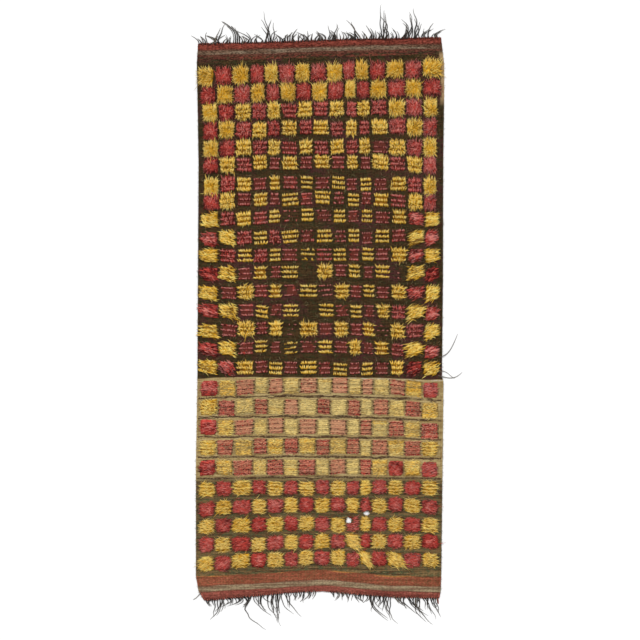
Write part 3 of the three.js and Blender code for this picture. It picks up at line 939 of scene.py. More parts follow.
def cut_hole(cloth, hole):
    """Cuts one worn hole right through the cloth."""
    points = 36
    x, y = hole_rim(hole, points)
    low = np.stack([x, y, np.full(points, CUTTER_LOW)], axis=1)
    high = np.stack([x, y, np.full(points, CUTTER_HIGH)], axis=1)
    middle = [[x.mean(), y.mean(), CUTTER_LOW], [x.mean(), y.mean(), CUTTER_HIGH]]
    k = np.arange(points)
    after = (k + 1) % points
    walls = np.stack([k, after, after + points, k + points], axis=1)
    bottom = np.stack([after, k, np.full(points, 2 * points)], axis=1)
    top = np.stack([k + points, after + points, np.full(points, 2 * points + 1)], axis=1)
    plug = new_mesh(
        "hole_plug", np.concatenate([low, high, middle]) * MM, walls,
        np.concatenate([bottom, top]), WOVEN_GROUND,
    )
    cut = cloth.modifiers.new("hole", "BOOLEAN")
    cut.operation = "DIFFERENCE"
    cut.solver = "EXACT"
    cut.object = plug
    bpy.context.view_layer.update()
    evaluated = cloth.evaluated_get(bpy.context.evaluated_depsgraph_get())
    pierced = bpy.data.meshes.new_from_object(evaluated)
    cloth.modifiers.clear()
    old = cloth.data
    cloth.data = pierced
    bpy.data.meshes.remove(old)
    bpy.data.objects.remove(plug)


def ground_ridge(name, x, y, half_widths, heights, base, inside_y=None):
    """One ridge of the ground's own yarn along places in mm. Its colour is the ground's at those
    places, or at inside_y where it leaves the cloth."""
    at = ground_fields(x, y if inside_y is None else inside_y)
    fields = {field: values[None] for field, values in at.items()}
    paths = np.stack([x, y], axis=1)[None]
    bases = np.broadcast_to(base, len(x))[None]
    return ridges(
        name, paths, half_widths[None], heights[None], bases, WOVEN_GROUND, **fields,
    )


def selvage(side):
    """The firm ribbed edge along one side of the cloth."""
    stations = 641
    corner = 0 if side == "left" else -1
    y = np.linspace(FAR_END[corner, 1] - 1, NEAR_END[corner, 1] + 3, stations)
    facing = -1 if side == "left" else 1
    x = side_x(side, y) - facing * SELVAGE_WIDTH * 0.4
    lump = np.arange(stations) % 2
    half_widths = SELVAGE_WIDTH * 0.5 + 0.9 * lump + rng.normal(0, 0.25, stations)
    heights = 1.7 + 0.9 * lump + rng.normal(0, 0.15, stations)
    return ground_ridge(f"{side}_selvage", x, y, half_widths, heights, GROUND_THICKNESS - 0.6)


# The distance between two warp ends, in mm
WARP_PITCH = 9.4


def end_cord(name, end):
    """The twined shot that closes one end of the cloth, a lump between each two warp ends."""
    stations = 2 * round((end[-1, 0] - end[0, 0]) / WARP_PITCH) + 1
    x = np.linspace(end[0, 0] + 2, end[-1, 0] - 2, stations)
    y = end_y(end, x) + (-2.0 if end is FAR_END else 2.0)
    lump = np.arange(stations) % 2
    half_widths = 0.8 + 5.2 * lump + rng.normal(0, 0.5, stations)
    return ground_ridge(name, x, y, half_widths, 0.8 + 1.0 * lump, GROUND_THICKNESS - 0.5)


# X and Y of places along the tail of cloth at the near right corner, and its last Y on the cloth
TAIL = np.array([(523, -1238), (527, -1252), (530, -1264), (532, -1275)])
TAIL_ROOT = -1246


def corner_tail():
    """The narrow tail of cloth that hangs on at the near right corner."""
    stations = 15
    share = np.linspace(0, 1, stations)
    x, y = (np.interp(share, np.linspace(0, 1, len(TAIL)), places) for places in TAIL.T)
    half_widths = np.linspace(6.5, 1.6, stations) + rng.normal(0, 0.3, stations)
    base = np.linspace(GROUND_THICKNESS - 1.5, 0.2, stations)
    heights = np.full(stations, 1.4)
    return ground_ridge(
        "corner_tail", x, y, half_widths, heights, base, inside_y=np.maximum(y, TAIL_ROOT),
    )


# The first row after each pair of thick dark shots, counted from 0, and how far apart the two of
# a pair are in mm
SHOT_ROWS = range(KHAKI_ROW + 1, NEAR_ROW + 1)
SHOT_PITCH = 3.0


def row_shots():
    """The thick dark shots of weft between the rows of the khaki part, in pairs."""
    stations = 241
    share = np.linspace(0.004, 0.996, stations)
    paths, half_widths, heights = [], [], []
    for row in SHOT_ROWS:
        middle = (row_y(row - 1, share) + row_y(row, share)) / 2
        for aside in (-0.5, 0.5):
            drift = np.interp(share, np.linspace(0, 1, 31), rng.normal(0, 1.9, 31))
            y = middle + drift + aside * SHOT_PITCH + rng.normal(0, 0.6, stations)
            paths.append(np.stack([between_sides(share, y), y], axis=1))
            firm = np.interp(share, np.linspace(0, 1, 41), rng.uniform(0.3, 1.4, 41))
            half_widths.append(3.1 * firm * rng.uniform(0.6, 1.4, stations))
            heights.append(1.9 * firm - 0.3)
    count = len(paths)
    shade = unit(rng.normal(0.06, 0.14, (count, stations)))
    return ridges(
        "row_shots", np.array(paths), np.array(half_widths), np.array(heights),
        np.full((count, stations), GROUND_THICKNESS - 0.1), WEFT_YARN, shade=shade,
    )


def hole_fray():
    """Broken yarns around the rims of the worn holes."""
    threads = 26
    steps = 6
    share = np.linspace(0, 1, steps)
    lines, widths = [], []
    for hole in HOLES:
        x, y = hole_rim(hole, threads, 1.12)
        inward = np.arctan2(hole[1] - y, hole[0] - x) + rng.normal(0, 0.6, threads)
        length = rng.uniform(3, 9, threads)
        bend = rng.normal(0, 0.9, threads)
        for k in range(threads):
            heading = inward[k] + bend[k] * share
            px = x[k] + np.cumsum(np.cos(heading)) * length[k] / steps
            py = y[k] + np.cumsum(np.sin(heading)) * length[k] / steps
            pz = np.interp(share, (0, 1), (GROUND_THICKNESS + 0.4, rng.uniform(1.2, 4.0)))
            lines.append(np.stack([px, py, pz], axis=1))
            widths.append(rng.uniform(0.6, 1.3) * np.linspace(1, 0.4, steps))
    return yarns(
        "hole_fray", np.array(lines) * MM, np.array(widths) * MM, 4, WEFT_YARN,
        shade=rng.uniform(0.3, 1.0, len(lines)),
    )


# Pile

# The knots of one line of a block, and the width of one in mm
KNOTS = 8
KNOT_WIDTH = 8.1
# Where a block's lines of knots lie, and those of a flat one on the khaki part, in mm from its
# middle line, the near one first
KNOT_LINES = (-21.5, 0.0, 21.5)
FLAT_LINES = (-27.0, -9.0, 9.0, 27.0)

# Heights in mm of the beds of packed wool over the ground, by wear, and what the khaki rows have
# more
PAD_WEAR = (0, 0.3, 0.6, 1.25, 1.3)
PAD_HEIGHTS = (7.0, 4.0, 0.8, 0.5, 0.0)
KHAKI_PAD = 1.0
# By how many mm half a bed is longer than half a block, by wear, and in the khaki rows
BED_WEAR = (0.1, 0.3, 0.8)
LONGER_BEDS = (1.0, 0.0, 1.5)
LONGER_KHAKI_BEDS = 6.0
# The power by which beds fall off to their sides, and how many points they have each way
CROWN_POWER = 5
BED_POINTS = 7
# The wear beyond which red blocks have no bed
BEDLESS = 1.28
# How deep in mm the rims and the undersides of the beds lie in the ground
RIM_DEPTH = 1.2
UNDERSIDE_DEPTH = 2.0

# The two columns at either side, and the rows in which their tufts have been combed out over the
# edges where they are less worn than SWEPT_WEAR
OUTER_COLUMNS = (0, 1, COLUMN_COUNT - 2, COLUMN_COUNT - 1)
SWEPT_ROWS = range(8, KHAKI_ROW)
SWEPT_WEAR = 0.5


def find_blocks(x, y):
    """The row and column of the block nearest to each place, and the place in that block, from
    -1 to 1 each way."""
    across = unit(share_across(x, y))
    rows_y = np.array([row_y(row, across) for row in range(ROW_COUNT)])
    row = np.argmin(np.abs(rows_y - y), axis=0)
    lines = LINES[row]
    column = np.clip((lines <= x[:, None]).sum(axis=1) - 1, 0, COLUMN_COUNT - 1)
    at = np.arange(len(x))
    low, high = lines[at, column], lines[at, column + 1]
    u = (x - (low + high) / 2) / (high - low) * 2
    v = (y - rows_y[row, at]) / (BLOCK_LENGTH / 2)
    return row, column, u, v


def pad_height(row, wear):
    """Height in mm of a block's bed of packed wool over the ground."""
    return np.interp(wear, PAD_WEAR, PAD_HEIGHTS) + KHAKI_PAD * in_khaki(row)


def bed_half_length(row, wear):
    """Half the length of a block's bed along the rug, in mm."""
    longer = np.interp(wear, BED_WEAR, LONGER_BEDS)
    return BLOCK_LENGTH / 2 + longer + LONGER_KHAKI_BEDS * in_khaki(row)


def pile_height(x, y):
    """Height in mm of the beds of wool, the ground or the floor at each place."""
    row, column, u, v = find_blocks(x, y)
    pad = pad_height(row, WEAR[row, column])
    crown = unit(1 - np.abs(u) ** CROWN_POWER) * unit(1 - np.abs(v) ** CROWN_POWER)
    outside = np.maximum(side_x("left", y) - x, x - side_x("right", y))
    ground = GROUND_THICKNESS * (1 - np.clip(outside / 12, 0, 0.8))
    return ground + pad * crown


def has_bed(row, column):
    """Worn yellow blocks show the ground between their lines, and worn red ones a bed of wool.
    A block with a hole has none."""
    wear = WEAR[row, column]
    low, high = LINES[row, column], LINES[row, column + 1]
    for hole_x, hole_y, *_ in HOLES:
        if low < hole_x < high and abs(row_y(row, 0.6) - hole_y) < BLOCK_LENGTH / 2 + 10:
            return False
    return wear < BARE or in_khaki(row) > 0 or (is_red(row, column) and wear < BEDLESS)


def is_flat(row, column):
    """True for the blocks on the khaki part whose pile is combed flat."""
    return bool(in_khaki(row)) and WEAR[row, column] >= WORN


def is_swept(row, column):
    """True for the blocks whose long tufts lie sideways."""
    return row in SWEPT_ROWS and column in OUTER_COLUMNS and WEAR[row, column] < SWEPT_WEAR


def drabness(row, column):
    """How far a block on the khaki part has faded to the khaki's colour, from 0 to 1."""
    return float(unit(WEAR[row, column] * 1.15 - 0.2))


def sun_bleached(row, column):
    """1 for the blocks at the right of the khaki part, whose wool is lighter, and 0 elsewhere."""
    return in_khaki(row) if column == COLUMN_COUNT - 1 else 0.0


def outer_column(column, out_x):
    """True for the tufts that lie out over one of the rug's long edges."""
    return (column == 0) & (out_x < 0) | (column == COLUMN_COUNT - 1) & (out_x > 0)


def block_places(row, column, across, along, inset):
    """X and Y in mm of places in a block: across from -1 to 1, less an inset in mm at the sides,
    and along in mm from the row's middle line."""
    left_short, right_short, slope, flare, shift = BLOCK_SHAPES[row, column]
    low, high = LINES[row, column] + left_short, LINES[row, column + 1] - right_short
    left, right = LINES[row, 0], LINES[row, -1]
    middle = (low + high) / 2
    wider = 1 + flare * np.clip(along / BLOCK_LENGTH, -0.6, 0.6)
    x = middle + across * ((high - low) / 2 - inset) * wider
    return x, row_y(row, (x - left) / (right - left)) + along + slope * (x - middle) + shift


def bed_inset(row, column):
    """How far in mm a bed lies inside its block's sides."""
    if is_flat(row, column):
        return 0.2
    return 8.0 if is_swept(row, column) else 2.5


def bed_shade(row, column):
    """The middle of the shades of a bed."""
    if row < KHAKI_ROW:
        return np.interp(WEAR[row, column], (0.2, 0.5), (0.3, -0.2))
    return 0.3 if is_flat(row, column) or is_red(row, column) else 0.15


def wool_beds(name, blocks, material):
    """The low bed of packed wool under each shaggy block, one small dome for each."""
    n = BED_POINTS
    each = n * n + 1
    line = np.linspace(-1, 1, n)
    v, u = (line[place] for place in pairs(n, n))
    crown = (1 - np.abs(u) ** CROWN_POWER) * (1 - np.abs(v) ** CROWN_POWER)
    points, shades, drabs = [], [], []
    for row, column in blocks:
        wear = WEAR[row, column]
        along = v * bed_half_length(row, wear)
        x, y = block_places(row, column, u, along, bed_inset(row, column))
        # The beds of worn and flat blocks have ragged outlines and uneven tones.
        worn = row < KHAKI_ROW and wear >= WORN
        uneven = worn or is_flat(row, column)
        ragged = 1.6 if uneven else 0.5
        x, y = x + rng.normal(0, ragged, n * n), y + rng.normal(0, ragged, n * n)
        pad = pad_height(row, wear) + RIM_DEPTH
        z = GROUND_THICKNESS - RIM_DEPTH + pad * crown + rng.normal(0, 0.25, n * n) * crown
        points.append(np.stack([x, y, z], axis=1))
        points.append([[x.mean(), y.mean(), GROUND_THICKNESS - UNDERSIDE_DEPTH]])
        shades.append(rng.normal(bed_shade(row, column), 0.2 if uneven else 0.1, each))
        dull = 0.06 if worn and is_red(row, column) else in_khaki(row) * drabness(row, column)
        drabs.append(np.full(each, dull))
    j, i = pairs(n - 1, n - 1)
    corner = j * n + i
    over = np.stack([corner, corner + 1, corner + n + 1, corner + n], axis=1)
    step = np.arange(n - 1)
    rim = np.concatenate([step, step * n + n - 1, n * n - 1 - step, (n - 1 - step) * n])
    under = np.stack([np.roll(rim, -1), rim, np.full(len(rim), n * n)], axis=1)
    count = len(blocks)
    fields = {
        "along": np.full(count * each, 0.35),
        "shade": shades,
        "fade": np.full(count * each, 0.05),
        "drab": drabs,
    }
    return new_mesh(
        name, np.concatenate(points) * MM, repeated(over, count, each),
        repeated(under, count, each), material, fields,
    )


def knots_left(wear, count):
    """True for the knots of one line that haven't worn away. They go a few together."""
    chance = np.clip((wear - LOST) * 1.7, 0, 0.97)
    return np.repeat(rng.random(count // 2 + 1) >= chance, 2)[:count]


def knot_lines(name, blocks, material):
    """The lines of knot collars of the worn blocks, a lump for each knot."""
    stations = 2 * KNOTS + 1
    share = np.linspace(-1, 1, stations)
    lump = np.arange(stations) % 2
    paths, half_widths, heights, shades = [], [], [], []
    for row, column in blocks:
        wear, red = WEAR[row, column], is_red(row, column)
        thin = np.interp(wear, (0.6, 1.0, 1.3), (1.0, 0.8, 0.6)) * (0.8 if red else 1.0)
        for line in KNOT_LINES:
            along = line - 3.0 + rng.normal(0, 0.4, stations)
            x, y = block_places(row, column, share, along, 3.5)
            lost = np.repeat(~knots_left(wear, KNOTS + 1), 2)[:stations]
            half_widths.append((2.4 + 1.4 * lump) * thin)
            heights.append(np.where(lost, -1.0, (0.8 + 1.5 * lump) * thin))
            paths.append(np.stack([x, y], axis=1))
            # The knots' tops get a lighter shade and the gaps between them a darker one, also through
            # along below: painted highlight on the knots and painted shade between them.
            shades.append((-0.1 if red else 0.1) + 0.15 * lump + rng.normal(0, 0.1, stations))
    all_stations = (len(paths), stations)
    return ridges(
        name, np.array(paths), np.array(half_widths), np.array(heights),
        np.full(all_stations, GROUND_THICKNESS - 0.4), material,
        along=np.tile(0.2 + 0.2 * lump, len(paths)), shade=shades,
        fade=np.full(all_stations, 0.2), drab=np.zeros(all_stations),
    )


# Tufts


def tuft_table(x, y, length, heading, curl, lift, thickness, shade, fade=0.0, drab=0.0):
    """One row of numbers for each tuft: its root, length, lift and thickness in mm, where it
    points and how far it turns, and its numbers of colour."""
    columns = (x, y, length, heading, curl, lift, thickness, shade, fade, drab)
    return np.stack(np.broadcast_arrays(*columns), axis=1)


def tuft_grid(lines, across, layers):
    """Places of tufts in a block, from -1 to 1 each way: so many across each of its lines, and
    each place again for each layer."""
    i, j = pairs(lines, across)
    ox, oy = np.linspace(-1, 1, across)[j], np.linspace(-1, 1, lines)[i]
    return np.repeat(ox, layers), np.repeat(oy, layers)


def grid_tones(lines, across, layers, by_line, by_place):
    """Tones of the tufts of a grid, which differ from line to line and within the lines."""
    tone = np.repeat(rng.normal(0, by_line, lines), across * layers)
    return tone + np.repeat(rng.normal(0, by_place, lines * across), layers)


# The lines of tufts in a shaggy block, and the tufts at each place of a shaggy and a swept one
SHAG_LINES = 6
SHAG_LAYERS = 5
SWEPT_LAYERS = 3


def shag(row, column):
    """Long tufts, which part near the middle of the block and lie outwards over its bed, most of
    them towards the far end."""
    wear, red, far = WEAR[row, column], is_red(row, column), row < FAR_ROWS
    ox, oy = tuft_grid(SHAG_LINES, KNOTS, SHAG_LAYERS)
    count = len(ox)
    ox = ox + rng.normal(0, 0.09, count)
    oy = oy + rng.normal(0, 0.13, count)
    tone = np.repeat(rng.normal(0, 0.17 if far else 0.24, count // SHAG_LAYERS), SHAG_LAYERS)
    rounded = 1 - 0.12 * ox**2
    tall = (0.86 if red else 0.8) - 0.3 * wear
    along = oy * rounded * BLOCK_LENGTH / 2 * tall
    x, y = block_places(row, column, ox, along, 10.0 if red else 11.5)
    if row == 0:
        y = y - 4.0
    edge_lean = np.interp(column, OUTER_COLUMNS, (-0.4, -0.1, 0.1, 0.2)) * (1.0 if far else 0.3)
    out_x = ox * 0.4 + rng.normal(0, 0.24) + edge_lean + rng.normal(0, 0.16, count)
    out_y = oy + rng.normal(0, 0.2) + 0.2 + rng.normal(0, 0.2, count)
    outward = np.clip(np.hypot(out_x, out_y), 0, 1.3)
    heading = np.arctan2(out_y, out_x)
    free = outer_column(column, out_x) & far
    held = np.where(free, 1.0, 1 - 0.45 * np.abs(np.cos(heading)))
    length = (29 - 14 * wear) * rng.uniform(0.6, 1.15, count) * (0.7 + 0.3 * outward) * held
    length *= 0.84 if red else 1.0
    wild = rng.random(count) < (0.03 if red else 0.08)
    length = np.where(wild, length * rng.uniform(1.3, 1.8, count), length)
    lift = rng.uniform(1.2, 5.5, count) + 2.0 * (1 - unit(outward))
    rim = unit(np.hypot(ox, oy) - 0.4)
    # The higher a tuft lies, the lighter its shade: painted shade on the lower tufts.
    shade = rng.normal(0.3, 0.06) + 0.04 * lift + tone
    if red:
        shade = shade + (0.3 if far else 0.14) - 0.6 * rim + rng.normal(0, 0.2, count)
        # Beyond the first two rows the red is paler to the right.
        low, high, rightwards = (0.1, 0.5, 0.0) if far else (0, 0.15, 0.4)
        paler = rng.uniform(low, high) + rightwards * column / COLUMN_COUNT
        fade = paler + rng.normal(0, 0.2, count)
    else:
        shade = shade + (0.1 if far else 0.02) + 0.1 * rim + rng.normal(0, 0.26, count)
        fade = 0.5 * rim + rng.normal(0.1, 0.2, count)
    return tuft_table(
        x, y, length, heading, rng.normal(0, 0.35, count), lift,
        rng.uniform(2.2, 3.3, count), unit(shade), unit(fade),
    )


# How many times as long as the others the longest locks are, by row and column
LONG_LOCKS = {
    14: {1: 1.2, 2: 1.25, 14: 1.5},
    15: {15: 1.2},
    16: {1: 1.25, 2: 1.15, 14: 1.5},
    17: {2: 1.15},
}
# How much deeper some of the outer blocks' reds are, by row and column
DEEPER_REDS = {12: {1: 0.3, 15: 0.4}, 14: {1: 0.16}, 16: {1: 0.14}, 17: {14: 0.3}}


def swept_locks(row, column):
    """Long tufts of the outer blocks. They lie in lines, sideways and a little to the far end."""
    red = is_red(row, column)
    facing = 1 if column > COLUMN_COUNT / 2 else -1
    ox, line = tuft_grid(SHAG_LINES, KNOTS, SWEPT_LAYERS)
    tone = grid_tones(SHAG_LINES, KNOTS, SWEPT_LAYERS, 0.26, 0.2)
    count = len(ox)
    ox = ox + rng.normal(0, 0.1, count)
    oy = line + rng.normal(0, 0.07, count)
    outside = np.interp(column, OUTER_COLUMNS, (7.0, 2.0, 2.0, 7.0))
    inset = 5.0 if column in (0, COLUMN_COUNT - 1) else 8.0
    longer = own_number(LONG_LOCKS, row, column, 1.0)
    narrow = 1 - (0.12 + 0.3 * (longer - 1)) * (ox * facing + 1)
    x, y = block_places(row, column, ox * 0.9, oy * 27.0 * narrow, inset)
    aside = rng.normal(0.35, 0.1) + rng.normal(0, 0.2, count)
    back = rng.random(count) < np.clip(0.2 - 0.35 * ox * facing, 0.04, 0.5)
    heading = np.where(back ^ (facing < 0), math.pi - aside, aside)
    heading = np.where(back, -heading, heading)
    length = rng.uniform(16, 31, count) * (0.88 if red else 1.0) * longer
    x = x - np.cos(heading) * length * 0.3 + outside * facing
    lift = rng.uniform(0.8, 3.6, count)
    from_middle = np.hypot(ox * 0.8, oy)
    # The higher a tuft lies, the lighter its shade, and the paler a yellow one: painted shade on the
    # lower tufts and painted highlight on the upper ones.
    if red:
        deeper = own_number(DEEPER_REDS, row, column, 0.0)
        brighter = (0.02 if facing > 0 else -0.12) - deeper
        middle = 1 - unit(from_middle)
        shade = tone + 0.85 * middle + 0.07 * lift + brighter + rng.normal(0, 0.2, count)
        fade = rng.uniform(-0.2, 0.7, count) - deeper
    else:
        shade = tone + 0.22 * lift - 0.02 + rng.normal(0, 0.28, count)
        fade = 0.14 * lift - 0.08 + rng.normal(0, 0.14, count)
    whole = from_middle + rng.normal(0, 0.1, count) < (1.2 if red else 1.6)
    return tuft_table(
        x, y, length, heading, rng.normal(0, 0.3, count), lift,
        rng.uniform(2.3, 3.7, count), unit(shade), unit(fade),
    )[whole]


# The turns of the blocks of the near rows that have been swept askew, by row and column. Those
# turned further than MOST_ASKEW all lie to the right, beyond their own places.
ASKEW = {25: {2: 0.35}, 26: {10: -0.41}, 27: {1: 0.3, 2: 0.5, 9: -0.25, 11: -0.62, 13: -0.55}}
MOST_ASKEW = -0.4
# The lines of tufts in a block of the near rows, the places across it and the tufts at each, and
# half the distance between its first and last lines in mm
NEAR_LINES = 5
NEAR_ACROSS = 7
NEAR_LAYERS = 6
NEAR_HALF = 28.0


def combed_shag(row, column):
    """Tufts of the near rows. They lie to the left and right in lines, and a few blocks have been
    swept askew."""
    red = is_red(row, column)
    strong = 1.0 + in_khaki(row)
    ox, line = tuft_grid(NEAR_LINES, NEAR_ACROSS, NEAR_LAYERS)
    tone = grid_tones(NEAR_LINES, NEAR_ACROSS, NEAR_LAYERS, 0.09 * strong, 0.15 * strong)
    bow = np.repeat(rng.normal(0, 0.1, NEAR_LINES), NEAR_ACROSS * NEAR_LAYERS)
    count = len(ox)
    ox = ox + rng.normal(0, 0.12, count)
    loose = np.interp(row, (NEAR_ROW, NEAR_ROW + 2), (0.6, 1.0))
    mixed = 0.22 if red else 0.13 * loose
    oy = line + bow * (ox**2 - 0.5) + rng.normal(0, mixed, count)
    x, y = block_places(row, column, ox, oy * NEAR_HALF, 7.0)
    turn = own_number(ASKEW, row, column, rng.normal(0, 0.1))
    one_way = 0.5 if turn < MOST_ASKEW else 0.0
    if one_way:
        loose = loose * 0.5
        x = x + 5.0 + 19.0 * turn * oy
        y = y - 4.0
    to_right = rng.random(count) < 0.5 + one_way + 0.45 * np.clip(ox, -1, 1)
    splay = np.clip(rng.normal(0.35, 0.2), 0.1, 0.8) * loose
    out_y = oy * splay + rng.normal(0, 0.2 * loose, count)
    heading = np.arctan2(out_y, np.where(to_right, 1.0, -1.0)) + turn
    length = rng.uniform(14, 27, count) * (1 + abs(turn) + 0.3 * one_way)
    length *= np.where(outer_column(column, ox), 1.15, 1.0)
    wild = rng.random(count) < (0.02 if red else 0.09) + 0.2 * one_way
    length = np.where(wild, length * rng.uniform(1.2, 1.9, count), length)
    back = np.where(wild, 0.3, 0.47)
    x = x - np.cos(heading) * length * back
    y = y - np.sin(heading) * length * back
    lift = rng.uniform(0.6, 3.6, count)
    from_middle = (np.abs(ox) ** 2.5 + np.abs(oy) ** 2.5) ** 0.4
    whole = from_middle + rng.normal(0, 0.08, count) < 1.2
    sunned = sun_bleached(row, column)
    # The higher a tuft lies, the lighter its shade, and the paler a yellow one: painted shade on the
    # lower tufts and painted highlight on the upper ones.
    if red:
        shade = 0.46 + 0.1 * strong + tone - (0.24 + 0.12 * strong) * from_middle + 0.08 * lift
        shade = shade + 0.1 * sunned + rng.normal(0, 0.16, count)
        fade = rng.uniform(-0.1, 0.4) + 0.3 * sunned + rng.normal(0.0, 0.2, count)
    else:
        shade = 0.22 + 0.14 * strong + tone + 0.15 * lift + 0.2 * sunned
        shade = shade + rng.normal(0, 0.18, count)
        fade = rng.uniform(0.1, 0.6) + 0.14 * lift + 0.15 * sunned + rng.normal(0, 0.15, count)
    return tuft_table(
        x, y, length, heading, rng.normal(0, 0.3, count), lift,
        rng.uniform(2.1, 3.1, count), unit(shade), unit(fade),
    )[whole]


# How far the worn tufts fan out sideways, by row, and how long they are, in mm, by wear
FANNED_ROWS = (0, 9, 12, 15, 16)
FANNED_SHARES = (0.12, 0.2, 0.75, 0.8, 0.35)
REACH_WEAR = (0.3, 0.6, 0.85, 1.1, 1.5)
YELLOW_REACH = (24, 20.5, 19.5, 18, 13)
RED_REACH = (24, 19, 15, 12, 9)
# How far the worn tufts lean to the left, by column, and the rows between which that sets in
LEANING_COLUMNS = (0, 2, 5, 9, 12, 14)
COLUMN_LEANS = (0.7, 0.3, 0, 0, -0.3, -0.8)
LEANING_ROWS = (6, 10)


def knots_across(row, column):
    """How many knots one line of a block has."""
    return round((LINES[row, column + 1] - LINES[row, column] - 4) / KNOT_WIDTH)


def tooth_looks(wear, red, pale, tone, count):
    """The shades, thicknesses and fading of the teeth of one line."""
    # The pale teeth, which lie on top, are faded wool and painted highlight both; the others are
    # darker.
    if pale and red:
        shade = rng.normal(np.interp(wear, (0.5, 0.9), (0.5, 0.75)), 0.12, count)
        thickness = rng.uniform(2.6, 3.5, count)
        fade = rng.uniform(0.7, 1.0, count) * np.interp(wear, (0.5, 0.9), (0.6, 1.0))
    elif pale:
        shade = rng.normal(0.68, 0.14, count)
        thickness = rng.uniform(3.6, 4.9, count)
        fade = rng.uniform(0.3, 0.8, count)
    else:
        shade = 0.4 + tone - (0.38 if red else 0.2) + rng.normal(0, 0.15, count)
        thickest = np.interp(wear, (0.4, 0.9), (4.6, 3.6)) if red else 5.6
        thickness = thickest * rng.uniform(0.85, 1.1, count)
        faded = 0.0 if red else 0.3 * min(wear, 1)
        fade = unit(0.1 + faded + rng.normal(0, 0.2, count))
    return thickness, unit(shade), fade


def worn_lines(row, column):
    """Short tufts side by side like teeth in three lines, each with a thin pale one on top, which is
    faded wool and painted highlight both. They point to the far end, or fan out sideways in the rows
    that have been combed that way."""
    wear, red = WEAR[row, column], is_red(row, column)
    teeth = round(knots_across(row, column) * (1.5 if red else 1.0))
    fan = np.interp(row, FANNED_ROWS, FANNED_SHARES)
    lean = np.interp(column, LEANING_COLUMNS, COLUMN_LEANS) * np.interp(row, LEANING_ROWS, (0, 1))
    lean += rng.normal(0, 0.12)
    tone = rng.normal(0, 0.1)
    reach = np.interp(wear, REACH_WEAR, RED_REACH if red else YELLOW_REACH)
    pale_share = 0.75 if red else 0.95
    tables = []
    for line in KNOT_LINES:
        kept = knots_left(wear, teeth)
        if red:
            kept &= rng.random(teeth) > np.interp(wear, (0.5, 1.1), (0.0, 0.15))
        first, last = -1 + abs(rng.normal(0, 0.1)), 1 - abs(rng.normal(0, 0.1))
        own_reach = reach * rng.uniform(0.82, 1.15)
        for pale in (False, True):
            own = kept & (rng.random(teeth) < (pale_share if pale else 1.0))
            ox = np.linspace(first, last, teeth)[own]
            count = len(ox)
            ox = ox + rng.normal(0, 0.035, count)
            length = own_reach * rng.uniform(0.85, 1.12, count) * (0.75 if pale else 1.0)
            length *= 1.22 if line == KNOT_LINES[-1] and wear < BARE else 1.0
            heading = math.pi / 2 - ox * fan * 1.3 + lean + rng.normal(0, 0.14 + 0.25 * fan, count)
            back = 0.42 * np.minimum(length, 20) * np.abs(np.sin(heading))
            along = line - back + rng.normal(0, 0.7, count)
            x, y = block_places(row, column, ox, along, 6.5)
            x = x - np.cos(heading) * length * 0.3
            lift = rng.uniform(0.8, 2.2, count) + (2.2 if pale else 0.0)
            lift = lift + np.interp(wear, (0.3, 0.7), (1.5, 0.3))
            looks = tooth_looks(wear, red, pale, tone, count)
            curl = rng.normal(0, 0.2, count)
            tables.append(tuft_table(x, y, length, heading, curl, lift, *looks))
    if wear < 0.7:
        fuller = shag(row, column)
        share = np.interp(wear, (0.3, 0.7), (0.6, 0.12))
        tables.append(fuller[rng.random(len(fuller)) < share])
    return np.concatenate(tables)


# The places across a flat block and the tufts at each, how far in mm the tufts lie beside the
# lines of knots, and the knots that show of each line
FLAT_ACROSS = 6
FLAT_LAYERS = 3
BESIDE_LINES = (-4.2, 4.2)
FLAT_KNOTS = 8


def combed_flat(row, column):
    """The thin pile on the khaki part: fine wool combed flat to the sides, faded to the khaki's
    colour, with fresher lines where the knots are."""
    red = is_red(row, column)
    fresh = 1 - drabness(row, column)
    lines = len(FLAT_LINES)
    each = FLAT_ACROSS * FLAT_LAYERS
    line = np.repeat(FLAT_LINES, 2 * each)
    beside = np.tile(np.repeat(BESIDE_LINES, each), lines)
    ox, _ = tuft_grid(2 * lines, FLAT_ACROSS, FLAT_LAYERS)
    tone = np.repeat(rng.normal(0, 0.33, 2 * lines), each)
    showing = np.repeat(rng.random(lines), 2 * each)
    own = rng.normal(0, 0.1)
    count = len(ox)
    along = line + beside + rng.normal(0, 0.7 + 1.2 * fresh, count)
    x, y = block_places(row, column, ox + rng.normal(0, 0.12, count), along, 9.0)
    way = np.where(rng.random(count) < 0.5 + 0.45 * np.clip(ox, -1, 1), 0.0, math.pi)
    heading = way + rng.normal(0, 0.05 + 0.25 * fresh, count)
    length = rng.uniform(15, 25, count)
    x = x - np.cos(heading) * length * 0.5
    if red:
        drab = 1.0 + own - 0.5 * fresh - 0.5 * showing**2 * rng.random(count)
    else:
        drab = 1.05 + own - 0.65 * showing**4 - 0.6 * fresh + rng.normal(0, 0.08, count)
    sunned = sun_bleached(row, column)
    shade = 0.5 + 0.3 * sunned + tone + rng.normal(0, 0.27, count)
    lift = rng.uniform(0.2, 1.0, count) + 1.6 * fresh
    fade = (0.7 * fresh if red else 0.5) * rng.uniform(0.2, 1.0, count)
    fade = fade + (0.2 if red else 0.45) * sunned
    laid = tuft_table(
        x, y, length, heading, rng.normal(0, 0.12, count), lift,
        rng.uniform(2.8, 4.2, count), unit(shade), unit(fade), unit(drab),
    )
    return np.concatenate([laid, flat_knots(row, column, fresh)])


